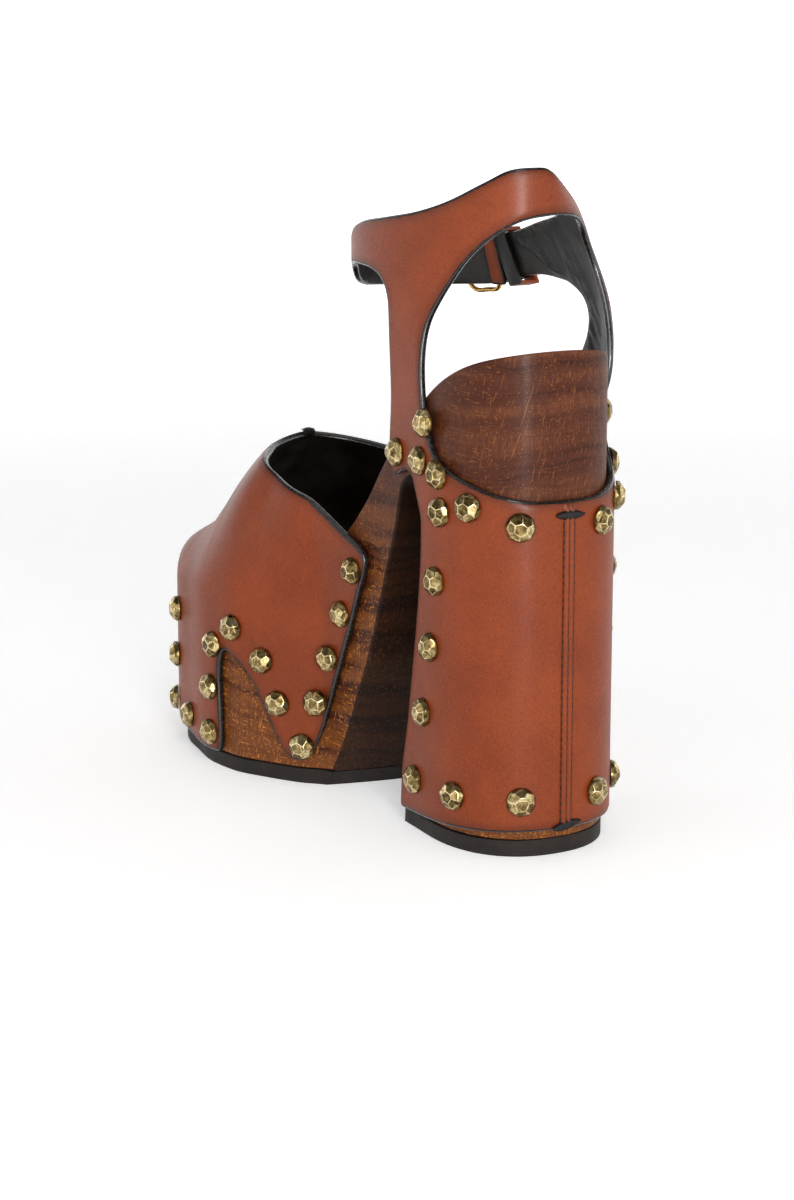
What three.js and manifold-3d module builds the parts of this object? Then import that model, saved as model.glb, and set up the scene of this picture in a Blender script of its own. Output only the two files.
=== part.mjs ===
// Platform clog sandal for the right foot, in millimetres.
// +X is the outer (lateral) side, +Y points from heel to toe, +Z is up and the floor is z = 0.
// The origin is the middle of the heel's resting face.
import * as THREE from 'three';
import { mergeVertices } from 'three/addons/utils/BufferGeometryUtils.js';
import Module from 'manifold-3d';

const wasm = await Module();
wasm.setup();

// Driving dimensions
const soleLength = 226;
const ballWidth = 95.2;
const heelHeight = 165;
const platformHeight = 61;
const toeSpring = 5;
const outsoleThickness = 5.5;
const insoleThickness = 1.8;
const insoleInset = 3;
const archHeight = 120;
const archSpan = 53.5;
const heelDepth = 57;
const heelAxisTurn = 5;
const rearFaceBulge = 3.5;
const vampWall = 2.8;
const quarterWall = 2.5;
const vampHeight = 118;
const throatDrop = 3;
const collarWidth = 67;
const collarLength = 104;
const collarBack = 15;
const collarShift = 4;
const collarTop = 221.5;
const collarLean = 0.3;
const collarCurl = 0.02;
const strapShort = 37;
const strapColumns = { round: 44, lap: 6 };
const studDiameter = 9.6;
const studHeight = 3.4;
const buckleWire = 2.0;
const buckleLength = 15;
const prongWire = 1.4;
const keeperWidth = 5.5;
const keeperSpacing = 5.2;
const keeperWall = 1.4;
const pieceGap = 0.3;

// Sole outline from above: a row for each section, as shares of the length and of the ball's half width
const planRows = [
  { along: 0.0, centre: -0.004, half: 0.638 },
  { along: 0.133, centre: 0.05, half: 0.637 },
  { along: 0.243, centre: 0.098, half: 0.636 },
  { along: 0.332, centre: 0.132, half: 0.637 },
  { along: 0.42, centre: 0.142, half: 0.656 },
  { along: 0.48, centre: 0.15, half: 0.7 },
  { along: 0.522, centre: 0.089, half: 0.804 },
  { along: 0.575, centre: 0.037, half: 0.898 },
  { along: 0.642, centre: -0.015, half: 0.981 },
  { along: 0.704, centre: -0.023, half: 1.0 },
  { along: 0.801, centre: -0.006, half: 0.945 },
  { along: 0.885, centre: -0.01, half: 0.868 },
  { along: 0.951, centre: -0.02, half: 0.77 },
  { along: 1.0, centre: -0.03, half: 0.64 },
];
const heelRounding = { depth: 0.172, power: 2.33 };
const toeRounding = { depth: 0.177, power: 2.2 };

// Footbed from the side: pitch is the share of the fall from heel height to platform height
const footbedRows = [
  { along: 0, pitch: 1 },
  { along: 0.07, pitch: 0.956 },
  { along: 0.14, pitch: 0.886 },
  { along: 0.23, pitch: 0.758 },
  { along: 0.323, pitch: 0.587 },
  { along: 0.387, pitch: 0.426 },
  { along: 0.43, pitch: 0.334 },
  { along: 0.487, pitch: 0.226 },
  { along: 0.553, pitch: 0.13 },
  { along: 0.62, pitch: 0.0625 },
  { along: 0.704, pitch: 0.017 },
  { along: 0.801, pitch: 0 },
  { along: 1, pitch: 0.029 },
];

// Arch from the side: shares of the arch height and of its span on the floor, from the heel breast
const archRows = [
  { along: 0.0, rear: 0.0, front: 1.0 },
  { along: 0.167, rear: -0.03, front: 0.806 },
  { along: 0.292, rear: -0.1, front: 0.673 },
  { along: 0.45, rear: -0.172, front: 0.505 },
  { along: 0.6, rear: -0.238, front: 0.374 },
  { along: 0.725, rear: -0.281, front: 0.262 },
  { along: 0.833, rear: -0.302, front: 0.15 },
  { along: 0.9, rear: -0.304, front: 0.102 },
  { along: 0.955, rear: -0.26, front: 0.055 },
  { along: 0.985, rear: -0.19, front: -0.005 },
  { along: 1.0, rear: -0.12, front: -0.08 },
];

// Vamp sections across the foot: heights as shares of the vamp's height, flare of the ball's width.
// A higher power makes a squarer shoulder, on the inner and on the outer side of the foot.
const vampRows = [
  { along: 0.34, shoulder: 0.52, crown: 1.19, inner: 3.0, outer: 3.0, flare: 0.02 },
  { along: 0.372, shoulder: 0.52, crown: 1.19, inner: 3.0, outer: 3.0, flare: 0.03 },
  { along: 0.43, shoulder: 0.53, crown: 1.17, inner: 3.0, outer: 3.0, flare: 0.06 },
  { along: 0.478, shoulder: 0.54, crown: 1.15, inner: 3.0, outer: 3.0, flare: 0.075 },
  { along: 0.513, shoulder: 0.56, crown: 1.135, inner: 2.9, outer: 2.9, flare: 0.04 },
  { along: 0.584, shoulder: 0.59, crown: 1.1, inner: 2.3, outer: 2.3, flare: 0.0 },
  { along: 0.646, shoulder: 0.58, crown: 1.068, inner: 2.0, outer: 2.0, flare: 0 },
  { along: 0.708, shoulder: 0.56, crown: 1.06, inner: 1.55, outer: 1.55, flare: 0 },
  { along: 0.765, shoulder: 0.55, crown: 0.99, inner: 1.4, outer: 1.4, flare: 0 },
  { along: 0.805, shoulder: 0.54, crown: 0.875, inner: 1.5, outer: 1.35, flare: 0 },
  { along: 0.84, shoulder: 0.535, crown: 0.785, inner: 1.7, outer: 1.4, flare: 0 },
  { along: 0.875, shoulder: 0.53, crown: 0.715, inner: 2.3, outer: 1.5, flare: 0 },
  { along: 0.91, shoulder: 0.53, crown: 0.675, inner: 3.1, outer: 1.6, flare: 0 },
  { along: 0.935, shoulder: 0.53, crown: 0.665, inner: 3.4, outer: 1.65, flare: 0 },
];

// Cut edge of the vamp from the side, from its rear corner down round the notch to the toe opening
const vampLowerEdge = [
  { along: 0.366, up: 0.757 },
  { along: 0.361, up: 0.72 },
  { along: 0.383, up: 0.633 },
  { along: 0.413, up: 0.513 },
  { along: 0.444, up: 0.386 },
  { along: 0.473, up: 0.252 },
  { along: 0.492, up: 0.156 },
  { along: 0.504, up: 0.099 },
  { along: 0.518, up: 0.072 },
  { along: 0.538, up: 0.096 },
  { along: 0.56, up: 0.178 },
  { along: 0.584, up: 0.271 },
  { along: 0.612, up: 0.347 },
  { along: 0.64, up: 0.385 },
  { along: 0.657, up: 0.372 },
  { along: 0.664, up: 0.297 },
  { along: 0.66, up: 0.15 },
  { along: 0.663, up: 0.062 },
  { along: 0.68, up: 0.052 },
  { along: 0.77, up: 0.057 },
  { along: 0.85, up: 0.067 },
  { along: 0.9, up: 0.08 },
];
const toeOpeningEdge = [
  { along: 0.918, up: 0.12 },
  { along: 0.921, up: 0.5 },
  { along: 0.916, up: 0.6 },
  { along: 0.9, up: 0.66 },
  { along: 0.885, up: 0.72 },
  { along: 0.88, up: 0.9 },
];
const throatEdge = [
  { along: 0.766, up: 1.02 },
  { along: 0.765, up: 0.998 },
  { along: 0.748, up: 0.99 },
  { along: 0.708, up: 0.975 },
  { along: 0.646, up: 0.958 },
  { along: 0.584, up: 0.932 },
  { along: 0.513, up: 0.898 },
  { along: 0.47, up: 0.858 },
  { along: 0.43, up: 0.815 },
  { along: 0.385, up: 0.775 },
];

// Edges of the quarter from the side: shares of the sole length and of the heel height
const quarterEdges = {
  inner: {
    foot: [
      { along: 0.206, up: 0.733 },
      { along: 0.22, up: 0.74 },
      { along: 0.235, up: 0.739 },
      { along: 0.25, up: 0.731 },
      { along: 0.262, up: 0.723 },
      { along: 0.281, up: 0.742 },
      { along: 0.286, up: 0.77 },
      { along: 0.28, up: 0.87 },
      { along: 0.275, up: 0.97 },
      { along: 0.275, up: 1.06 },
      { along: 0.284, up: 1.1 },
      { along: 0.305, up: 1.125 },
      { along: 0.34, up: 1.136 },
    ],
    rear: [
      { along: 0.055, up: 1.253 },
      { along: 0.075, up: 1.245 },
      { along: 0.105, up: 1.205 },
      { along: 0.13, up: 1.165 },
      { along: 0.15, up: 1.125 },
      { along: 0.165, up: 1.085 },
      { along: 0.177, up: 1.035 },
      { along: 0.178, up: 0.97 },
      { along: 0.172, up: 0.885 },
      { along: 0.155, up: 0.83 },
      { along: 0.128, up: 0.78 },
      { along: 0.065, up: 0.744 },
      { along: 0.0, up: 0.712 },
    ],
  },
  outer: {
    foot: [
      { along: 0.18, up: 0.735 },
      { along: 0.196, up: 0.74 },
      { along: 0.212, up: 0.739 },
      { along: 0.226, up: 0.731 },
      { along: 0.238, up: 0.723 },
      { along: 0.252, up: 0.742 },
      { along: 0.252, up: 0.77 },
      { along: 0.238, up: 0.86 },
      { along: 0.214, up: 0.95 },
      { along: 0.205, up: 1.0 },
      { along: 0.209, up: 1.04 },
      { along: 0.228, up: 1.072 },
      { along: 0.266, up: 1.096 },
    ],
    rear: [
      { along: 0.055, up: 1.253 },
      { along: 0.08, up: 1.245 },
      { along: 0.108, up: 1.225 },
      { along: 0.116, up: 1.2 },
      { along: 0.106, up: 1.15 },
      { along: 0.09, up: 1.1 },
      { along: 0.08, up: 1.04 },
      { along: 0.084, up: 0.98 },
      { along: 0.106, up: 0.92 },
      { along: 0.122, up: 0.86 },
      { along: 0.11, up: 0.8 },
      { along: 0.065, up: 0.744 },
      { along: 0.0, up: 0.712 },
    ],
  },
};
// Ankle strap from the side, in front of the struts, shares of the sole length and the collar's top
const strapTopEdge = {
  inner: [
    { along: 0.05, up: 1.0 },
    { along: 0.085, up: 0.998 },
    { along: 0.11, up: 0.98 },
    { along: 0.155, up: 0.953 },
    { along: 0.21, up: 0.935 },
    { along: 0.28, up: 0.924 },
    { along: 0.36, up: 0.914 },
    { along: 0.43, up: 0.897 },
    { along: 0.5, up: 0.872 },
    { along: 0.54, up: 0.862 },
  ],
  outer: [
    { along: 0.05, up: 1.0 },
    { along: 0.078, up: 0.995 },
    { along: 0.1, up: 0.973 },
    { along: 0.14, up: 0.948 },
    { along: 0.2, up: 0.93 },
    { along: 0.26, up: 0.918 },
    { along: 0.32, up: 0.905 },
    { along: 0.376, up: 0.889 },
    { along: 0.43, up: 0.88 },
    { along: 0.5, up: 0.867 },
    { along: 0.54, up: 0.862 },
  ],
};
const strapLowEdge = {
  inner: [
    { along: 0.375, up: 0.847 },
    { along: 0.42, up: 0.846 },
    { along: 0.448, up: 0.838 },
    { along: 0.473, up: 0.818 },
    { along: 0.5, up: 0.804 },
    { along: 0.54, up: 0.8 },
  ],
  outer: [
    { along: 0.32, up: 0.822 },
    { along: 0.35, up: 0.822 },
    { along: 0.38, up: 0.816 },
    { along: 0.411, up: 0.807 },
    { along: 0.451, up: 0.801 },
    { along: 0.5, up: 0.799 },
    { along: 0.54, up: 0.8 },
  ],
};

// Value of one column at a place along a table, smooth and without overshoot between its rows
function readTable(rows, place, column) {
  let row = 0;
  while (row < rows.length - 2 && place > rows[row + 1].along) row += 1;
  const slope = (i) => (rows[i + 1][column] - rows[i][column]) / (rows[i + 1].along - rows[i].along);
  const tangent = (i) => {
    if (i === 0) return slope(0);
    if (i === rows.length - 1) return slope(i - 1);
    const before = slope(i - 1);
    const after = slope(i);
    return before * after > 0 ? (2 * before * after) / (before + after) : 0;
  };
  const from = rows[row];
  const step = rows[row + 1].along - from.along;
  const t = THREE.MathUtils.clamp((place - from.along) / step, 0, 1);
  const t2 = t * t;
  const t3 = t2 * t;
  return (2 * t3 - 3 * t2 + 1) * from[column] + (t3 - 2 * t2 + t) * step * tangent(row)
    + (3 * t2 - 2 * t3) * rows[row + 1][column] + (t3 - t2) * step * tangent(row + 1);
}

// Solid helpers
function solidFrom(geometry, weld = 1e-4) {
  const bare = geometry.index ? geometry.toNonIndexed() : geometry.clone();
  bare.deleteAttribute('normal');
  bare.deleteAttribute('uv');
  const merged = mergeVertices(bare, weld);
  return new wasm.Manifold(new wasm.Mesh({
    numProp: 3,
    vertProperties: new Float32Array(merged.attributes.position.array),
    triVerts: new Uint32Array(merged.index.array),
  }));
}

function geometryFrom(solid) {
  const { vertProperties, triVerts } = solid.getMesh();
  const geometry = new THREE.BufferGeometry();
  geometry.setAttribute('position', new THREE.BufferAttribute(vertProperties, 3));
  geometry.setIndex(new THREE.BufferAttribute(triVerts, 1));
  return geometry;
}

// Largest body of a cut solid, without the slivers that a cut along a wall can leave
const sliverSize = 0.03;
function mainBody(solid) {
  const body = solid.decompose().sort((a, b) => b.volume() - a.volume())[0].simplify(sliverSize);
  return solidFrom(geometryFrom(body), sliverSize);
}

function meshFrom(solid, name, material) {
  const mesh = new THREE.Mesh(geometryFrom(solid), material);
  mesh.name = name;
  return mesh;
}

// Prism of an outline drawn from above, between two heights
function planPrism(points, low, high) {
  const geometry = new THREE.ExtrudeGeometry(new THREE.Shape(points), { depth: high - low, bevelEnabled: false });
  return solidFrom(geometry.translate(0, 0, low));
}

// Prism of an outline drawn from the side as (y, z) points, between two widths
function sidePrism(points, left, right) {
  const geometry = new THREE.ExtrudeGeometry(new THREE.Shape(points), { depth: right - left, bevelEnabled: false });
  const sideways = new THREE.Matrix4().makeBasis(
    new THREE.Vector3(0, 1, 0), new THREE.Vector3(0, 0, 1), new THREE.Vector3(1, 0, 0));
  return solidFrom(geometry.applyMatrix4(sideways).translate(left, 0, 0));
}

// Skin through rings of points, each ring with as many points.
// The two ends are closed by the cap's triangles of point numbers, or the last ring joins the first.
function loftRings(rings, cap = null) {
  const count = rings[0].length;
  const positions = rings.flat().flatMap((p) => [p.x, p.y, p.z]);
  const faces = [];
  for (let r = 0; r < rings.length - (cap ? 1 : 0); r += 1) {
    for (let i = 0; i < count; i += 1) {
      const a = r * count + i;
      const b = r * count + (i + 1) % count;
      const c = ((r + 1) % rings.length) * count + i;
      const d = ((r + 1) % rings.length) * count + (i + 1) % count;
      faces.push(a, b, c, b, d, c);
    }
  }
  const last = (rings.length - 1) * count;
  for (const [a, b, c] of cap ?? []) {
    faces.push(a, c, b, last + a, last + b, last + c);
  }
  const geometry = new THREE.BufferGeometry();
  geometry.setAttribute('position', new THREE.Float32BufferAttribute(positions, 3));
  geometry.setIndex(faces);
  const solid = solidFrom(geometry);
  return solid.volume() > 0 ? solid : solidFrom(flipped(geometry));
}

function flipped(geometry) {
  const index = Array.from(geometry.index.array);
  for (let i = 0; i < index.length; i += 3) [index[i + 1], index[i + 2]] = [index[i + 2], index[i + 1]];
  geometry.setIndex(index);
  return geometry;
}

// Wall between two grids of points: pointAt(column, row, face) with face 0 inside and 1 outside
function wallSolid(columns, rows, pointAt) {
  const positions = [];
  for (const face of [0, 1]) {
    for (let c = 0; c <= columns; c += 1) {
      for (let r = 0; r <= rows; r += 1) positions.push(...pointAt(c, r, face).toArray());
    }
  }
  const at = (c, r, face) => face * (columns + 1) * (rows + 1) + c * (rows + 1) + r;
  const faces = [];
  const quad = (a, b, c, d) => faces.push(a, b, c, a, c, d);
  for (let c = 0; c < columns; c += 1) {
    for (let r = 0; r < rows; r += 1) {
      quad(at(c, r, 1), at(c + 1, r, 1), at(c + 1, r + 1, 1), at(c, r + 1, 1));
      quad(at(c, r, 0), at(c, r + 1, 0), at(c + 1, r + 1, 0), at(c + 1, r, 0));
    }
    quad(at(c, 0, 0), at(c + 1, 0, 0), at(c + 1, 0, 1), at(c, 0, 1));
    quad(at(c, rows, 0), at(c, rows, 1), at(c + 1, rows, 1), at(c + 1, rows, 0));
  }
  for (let r = 0; r < rows; r += 1) {
    quad(at(0, r, 0), at(0, r, 1), at(0, r + 1, 1), at(0, r + 1, 0));
    quad(at(columns, r, 0), at(columns, r + 1, 0), at(columns, r + 1, 1), at(columns, r, 1));
  }
  const geometry = new THREE.BufferGeometry();
  geometry.setAttribute('position', new THREE.Float32BufferAttribute(positions, 3));
  geometry.setIndex(faces);
  const solid = solidFrom(geometry);
  return solid.volume() > 0 ? solid : solidFrom(flipped(geometry));
}

const smooth = (value, from, to) => THREE.MathUtils.smoothstep(value, from, to);

// Sole outline: inner side at -1 and outer side at +1
function outlineX(y, side) {
  const along = THREE.MathUtils.clamp(y / soleLength, 0, 1);
  const heelPart = Math.max(0, 1 - along / heelRounding.depth);
  const toePart = Math.max(0, 1 - (1 - along) / toeRounding.depth);
  const heelRound = (1 - heelPart ** heelRounding.power) ** (1 / heelRounding.power);
  const toeRound = (1 - toePart ** toeRounding.power) ** (1 / toeRounding.power);
  const half = readTable(planRows, along, 'half') * heelRound * toeRound;
  return (readTable(planRows, along, 'centre') + side * half) * (ballWidth / 2);
}

// Points of one side of the outline, close together where the heel and toe turn
function outlineSide(side, steps) {
  const points = [];
  for (let i = 0; i <= steps; i += 1) {
    const y = soleLength * (1 - Math.cos((Math.PI * i) / steps)) / 2;
    points.push(new THREE.Vector2(outlineX(y, side), y));
  }
  return points;
}

const outlineSteps = 32;
function soleOutline(grow = 0) {
  const outer = outlineSide(1, outlineSteps);
  const inner = outlineSide(-1, outlineSteps).reverse();
  const loop = outer.concat(inner.slice(1, -1));
  return loop.map((point, i) => {
    const before = loop[(i + loop.length - 1) % loop.length];
    const after = loop[(i + 1) % loop.length];
    const along = after.clone().sub(before).normalize();
    return point.clone().add(new THREE.Vector2(along.y, -along.x).multiplyScalar(grow));
  });
}

const footbedZ = (y) => platformHeight
  + (heelHeight - platformHeight) * readTable(footbedRows, THREE.MathUtils.clamp(y / soleLength, 0, 1), 'pitch');
const treadStart = 0.77 * soleLength;
const treadZ = (y) => toeSpring * Math.max(0, (y - treadStart) / (soleLength - treadStart)) ** 2;

// Rear wall of the arch on the inner side of the sole at a height
const archRearY = (z) => heelDepth + archSpan * readTable(archRows, z / archHeight, 'rear');
const axisSlope = Math.tan(THREE.MathUtils.degToRad(heelAxisTurn));
const archInnerX = outlineX(heelDepth, -1);

// Profile strip between two curves of y, from the heel's back to the toe
const profileSteps = 34;
function sideStrip(lowAt, highAt, from, to) {
  const ys = Array.from({ length: profileSteps + 1 }, (_, i) => from + ((to - from) * i) / profileSteps);
  const low = ys.map((y) => new THREE.Vector2(y, lowAt(y)));
  const high = ys.map((y) => new THREE.Vector2(y, highAt(y))).reverse();
  return sidePrism(low.concat(high), -ballWidth, ballWidth);
}

function archCutter() {
  const stations = 12;
  const rings = [];
  const reach = ballWidth * 0.8;
  for (let i = 0; i <= stations; i += 1) {
    const x = THREE.MathUtils.lerp(-reach, reach, i / stations);
    const shift = -axisSlope * (x - archInnerX);
    const acrossPlatform = (x - outlineX(heelDepth + archSpan, -1)) / (ballWidth * 0.72);
    const bulge = rearFaceBulge * Math.max(0, 4 * acrossPlatform * (1 - acrossPlatform));
    const wallPoint = (row, share, forward) => new THREE.Vector3(
      x, heelDepth + archSpan * share + shift + forward, archHeight * row.along);
    const rear = archRows.map((row) => wallPoint(row, row.rear, 0));
    const front = archRows.map((row) => wallPoint(row, row.front, -bulge * (1 - row.along)));
    const floorRear = new THREE.Vector3(x, rear[0].y, -outsoleThickness);
    const floorFront = new THREE.Vector3(x, front[0].y, -outsoleThickness);
    rings.push([floorFront, ...front, ...rear.reverse(), floorRear]);
  }
  const sideView = rings[0].map((point) => new THREE.Vector2(point.y, point.z));
  return loftRings(rings, THREE.ShapeUtils.triangulateShape(sideView, []));
}

const arch = archCutter();
const solePrism = planPrism(soleOutline(), -outsoleThickness, heelHeight * 1.1);
const insolePocket = planPrism(soleOutline(pieceGap - insoleInset), 0, heelHeight * 1.2)
  .intersect(sideStrip((y) => footbedZ(y) - insoleThickness - pieceGap, () => heelHeight * 1.1, -1, soleLength + 1));
const soleWood = mainBody(solePrism
  .intersect(sideStrip((y) => treadZ(y) + outsoleThickness + pieceGap, footbedZ, -1, soleLength + 1))
  .subtract(arch)
  .subtract(insolePocket));
const outsole = solePrism
  .intersect(sideStrip(treadZ, (y) => treadZ(y) + outsoleThickness, -1, soleLength + 1))
  .subtract(arch);
const insole = planPrism(soleOutline(-insoleInset), 0, heelHeight * 1.1)
  .intersect(sideStrip((y) => footbedZ(y) - insoleThickness, footbedZ, -1, soleLength + 1));
const aroundSole = planPrism(soleOutline(pieceGap), -outsoleThickness, heelHeight * 1.1)
  .intersect(sideStrip(() => 0, (y) => footbedZ(y) + pieceGap, -1, soleLength + 1));
const outsoleHalves = outsole.decompose().sort((a, b) => a.boundingBox().min[1] - b.boundingBox().min[1]);

// Vamp: across runs from -1 at the inner bottom edge over the crown at 0 to +1 at the outer one
const vampBottom = outsoleThickness * 0.6;
function vampInside(across, y) {
  const along = y / soleLength;
  const side = Math.sign(across) || 1;
  const shoulder = vampHeight * readTable(vampRows, along, 'shoulder');
  const crown = vampHeight * readTable(vampRows, along, 'crown');
  const power = readTable(vampRows, along, side < 0 ? 'inner' : 'outer');
  const flare = ballWidth * readTable(vampRows, along, 'flare');
  const wallX = outlineX(y, side) + side * pieceGap;
  const middleX = (outlineX(y, -1) + outlineX(y, 1)) / 2;
  const reach = Math.abs(across);
  if (reach > 0.5) {
    return new THREE.Vector3(wallX, y, THREE.MathUtils.lerp(shoulder, vampBottom, (reach - 0.5) / 0.5));
  }
  const turn = (1 - reach / 0.5) * Math.PI / 2;
  const x = middleX + (wallX - middleX) * Math.cos(turn) ** (2 / power) + side * flare * Math.sin(2 * turn);
  return new THREE.Vector3(x, y, shoulder + (crown - shoulder) * Math.sin(turn) ** (2 / power));
}

function vampPoint(across, y, depth) {
  const step = 0.01;
  const a = vampInside(Math.max(-1, across - step), y);
  const b = vampInside(Math.min(1, across + step), y);
  const c = vampInside(across, y - 0.5);
  const d = vampInside(across, y + 0.5);
  const normal = b.sub(a).cross(d.sub(c)).normalize();
  return vampInside(across, y).addScaledVector(normal, depth);
}

const edgePoints = (rows, high) => rows.map((row) => new THREE.Vector2(row.along * soleLength, row.up * high));
function smoothEdge(points, steps) {
  return new THREE.SplineCurve(points).getPoints(steps);
}

// Lap of the inner and outer cutting patterns where they meet in the middle of the shoe
const patternLap = 0.01;
function vampSolid() {
  const columns = 34;
  const rows = 23;
  const rearY = soleLength * 0.345;
  const frontY = soleLength * 0.935;
  const edgeSteps = { lower: 48, opening: 12, throat: 24 };
  const shell = wallSolid(columns, rows, (c, r, face) => vampPoint(
    2 * c / columns - 1, THREE.MathUtils.lerp(rearY, frontY, r / rows), face * vampWall));
  const roof = [0.88, 0.77].map((along) => new THREE.Vector2(soleLength * along, vampHeight * 1.3));
  const sides = [-1, 1].map((side) => {
    const throat = smoothEdge(edgePoints(throatEdge, vampHeight), edgeSteps.throat);
    const drop = (i) => Math.max(0, side) * throatDrop * smooth(i / edgeSteps.throat, 0.08, 0.5);
    const outline = [
      ...smoothEdge(edgePoints(vampLowerEdge, vampHeight), edgeSteps.lower),
      ...smoothEdge(edgePoints(toeOpeningEdge, vampHeight), edgeSteps.opening),
      ...roof,
      ...throat.map((point, i) => new THREE.Vector2(point.x, point.y - drop(i))),
    ];
    return side < 0 ? sidePrism(outline, -ballWidth, patternLap) : sidePrism(outline, 0, ballWidth);
  });
  return mainBody(shell.intersect(sides[0].add(sides[1])).subtract(aroundSole));
}

// Quarter: heel cover, struts and ankle strap in one wall round the heel and the ankle.
// The distance round is 0 at the back, positive along the inner side and negative along the outer side.
function walkFrom(points) {
  const lengths = [0];
  for (let i = 1; i < points.length; i += 1) {
    lengths.push(lengths[i - 1] + points[i].distanceTo(points[i - 1]));
  }
  return (distance) => {
    let i = 0;
    while (i < points.length - 2 && distance > lengths[i + 1]) i += 1;
    const t = (distance - lengths[i]) / (lengths[i + 1] - lengths[i]);
    const along = points[i + 1].clone().sub(points[i]).normalize();
    return { point: points[i].clone().lerp(points[i + 1], t), along };
  };
}

const walkSteps = 240;
const heelWalk = { inner: walkFrom(outlineSide(-1, walkSteps)), outer: walkFrom(outlineSide(1, walkSteps)) };
const collarCentre = new THREE.Vector2(collarShift, collarBack + collarLength / 2);
const collarPoints = Array.from({ length: 2 * walkSteps + 1 }, (_, i) => {
  const turn = (2 * Math.PI * i) / (2 * walkSteps);
  return new THREE.Vector2(
    collarCentre.x - (collarWidth / 2 - quarterWall) * Math.sin(turn),
    collarCentre.y - (collarLength / 2 - quarterWall) * Math.cos(turn));
});
const collarWalk = walkFrom(collarPoints);
const collarRound = collarPoints.reduce((sum, p, i) => sum + (i ? p.distanceTo(collarPoints[i - 1]) : 0), 0);

const blendLow = heelHeight * 0.86;
const blendHigh = { strut: heelHeight * 1.13, strap: heelHeight * 1.06 };
const collarWaist = collarTop * 0.9;
const strapStart = heelDepth * 1.4;
const strapFull = heelDepth * 1.95;
const tailLift = quarterWall + pieceGap;
const lateralEnd = -(collarRound / 2 - strapShort);
const strapLap = collarRound * (strapColumns.lap / strapColumns.round);
const tailEnd = collarRound + lateralEnd + strapLap;

// Distance that the long end of the strap stands off the short end where the two overlap
const liftAt = (round) => tailLift * smooth(round, tailEnd - strapLap * 1.9, tailEnd - strapLap * 1.15);

// Distance from the back of the heel, where the lapped end counts back along the outer side
const placeOf = (round) => (round > collarRound / 2 ? round - collarRound : round);

function quarterPoint(round, z, depth) {
  const place = placeOf(round);
  const side = place >= 0 ? 'inner' : 'outer';
  const heel = heelWalk[side](Math.min(Math.abs(place), soleLength / 2));
  const heelOut = new THREE.Vector2(-heel.along.y, heel.along.x).multiplyScalar(place >= 0 ? 1 : -1);
  const lift = liftAt(round);
  const heelPoint = heel.point.clone().addScaledVector(heelOut, pieceGap + depth + lift);
  const collar = collarWalk(place >= 0 ? place : collarRound + place);
  const collarOut = new THREE.Vector2(-collar.along.y, collar.along.x);
  const above = z - collarWaist;
  const lean = Math.max(0, collarOut.x) * (-collarLean * above - collarCurl * Math.max(0, above) ** 2);
  const collarPoint = collar.point.clone().addScaledVector(collarOut, depth + lift);
  collarPoint.x += lean;
  const onStrap = smooth(Math.abs(place), strapStart * 0.8, strapStart);
  const blendTop = THREE.MathUtils.lerp(blendHigh.strut, blendHigh.strap, onStrap);
  const share = Math.max(smooth(z, blendLow, blendTop), smooth(Math.abs(place), strapStart, strapFull));
  const mixed = heelPoint.lerp(collarPoint, share);
  return new THREE.Vector3(mixed.x, mixed.y, z);
}

const coverBottom = outsoleThickness + 0.6;
const coverBackRise = 3.2;
const breastInset = 1.2;
// Levels of the wall's grid above its bottom edge, as shares of the heel height
const quarterLevels = [0, 0.5, 0.84, 0.89, 0.94, 0.99, 1.04, 1.09, 1.15, 1.21, 1.27, 1.31, 1.38];
function quarterSolid() {
  const columns = strapColumns.round + strapColumns.lap;
  const rows = quarterLevels.length - 1;
  const top = heelHeight * quarterLevels[rows];
  const shell = wallSolid(columns, rows, (c, r, face) => {
    const round = THREE.MathUtils.lerp(lateralEnd, tailEnd, c / columns);
    const lowest = THREE.MathUtils.lerp(
      coverBottom, heelHeight * 1.03, smooth(Math.abs(placeOf(round)), strapStart * 0.95, strapFull));
    const level = quarterLevels[r] / quarterLevels[rows];
    return quarterPoint(round, THREE.MathUtils.lerp(lowest, top, level), face * quarterWall);
  });
  const edgeSteps = { strut: 32, strapLow: 12, strapTop: 20 };
  const patterns = ['inner', 'outer'].map((side) => {
    const edges = quarterEdges[side];
    const sideShift = side === 'inner' ? 0 : -axisSlope * (outlineX(heelDepth, 1) - archInnerX);
    const breast = [];
    for (let i = 0; i <= 10; i += 1) {
      const z = THREE.MathUtils.lerp(coverBottom, archHeight * 0.9, i / 10);
      breast.push(new THREE.Vector2(archRearY(z) - breastInset + sideShift, z));
    }
    const foot = smoothEdge(edgePoints(edges.foot, heelHeight), edgeSteps.strut);
    const front = smoothEdge(edgePoints(strapLowEdge[side], collarTop), edgeSteps.strapLow);
    const upper = smoothEdge(edgePoints(strapTopEdge[side], collarTop), edgeSteps.strapTop).reverse();
    const opening = smoothEdge(edgePoints(edges.rear, heelHeight), edgeSteps.strut);
    const back = [new THREE.Vector2(-10, opening.at(-1).y), new THREE.Vector2(-10, coverBottom + coverBackRise)];
    const rise = new THREE.Vector2(heelDepth * 0.35, coverBottom + coverBackRise * 0.6);
    const outline = [...breast, ...foot, ...front, ...upper, ...opening, ...back, rise];
    return side === 'inner'
      ? sidePrism(outline, -ballWidth, collarShift + patternLap)
      : sidePrism(outline, collarShift, ballWidth);
  });
  const pattern = patterns[0].add(patterns[1]);
  return mainBody(shell.intersect(pattern).subtract(aroundSole).subtract(prongSolid(pieceGap)));
}

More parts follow.
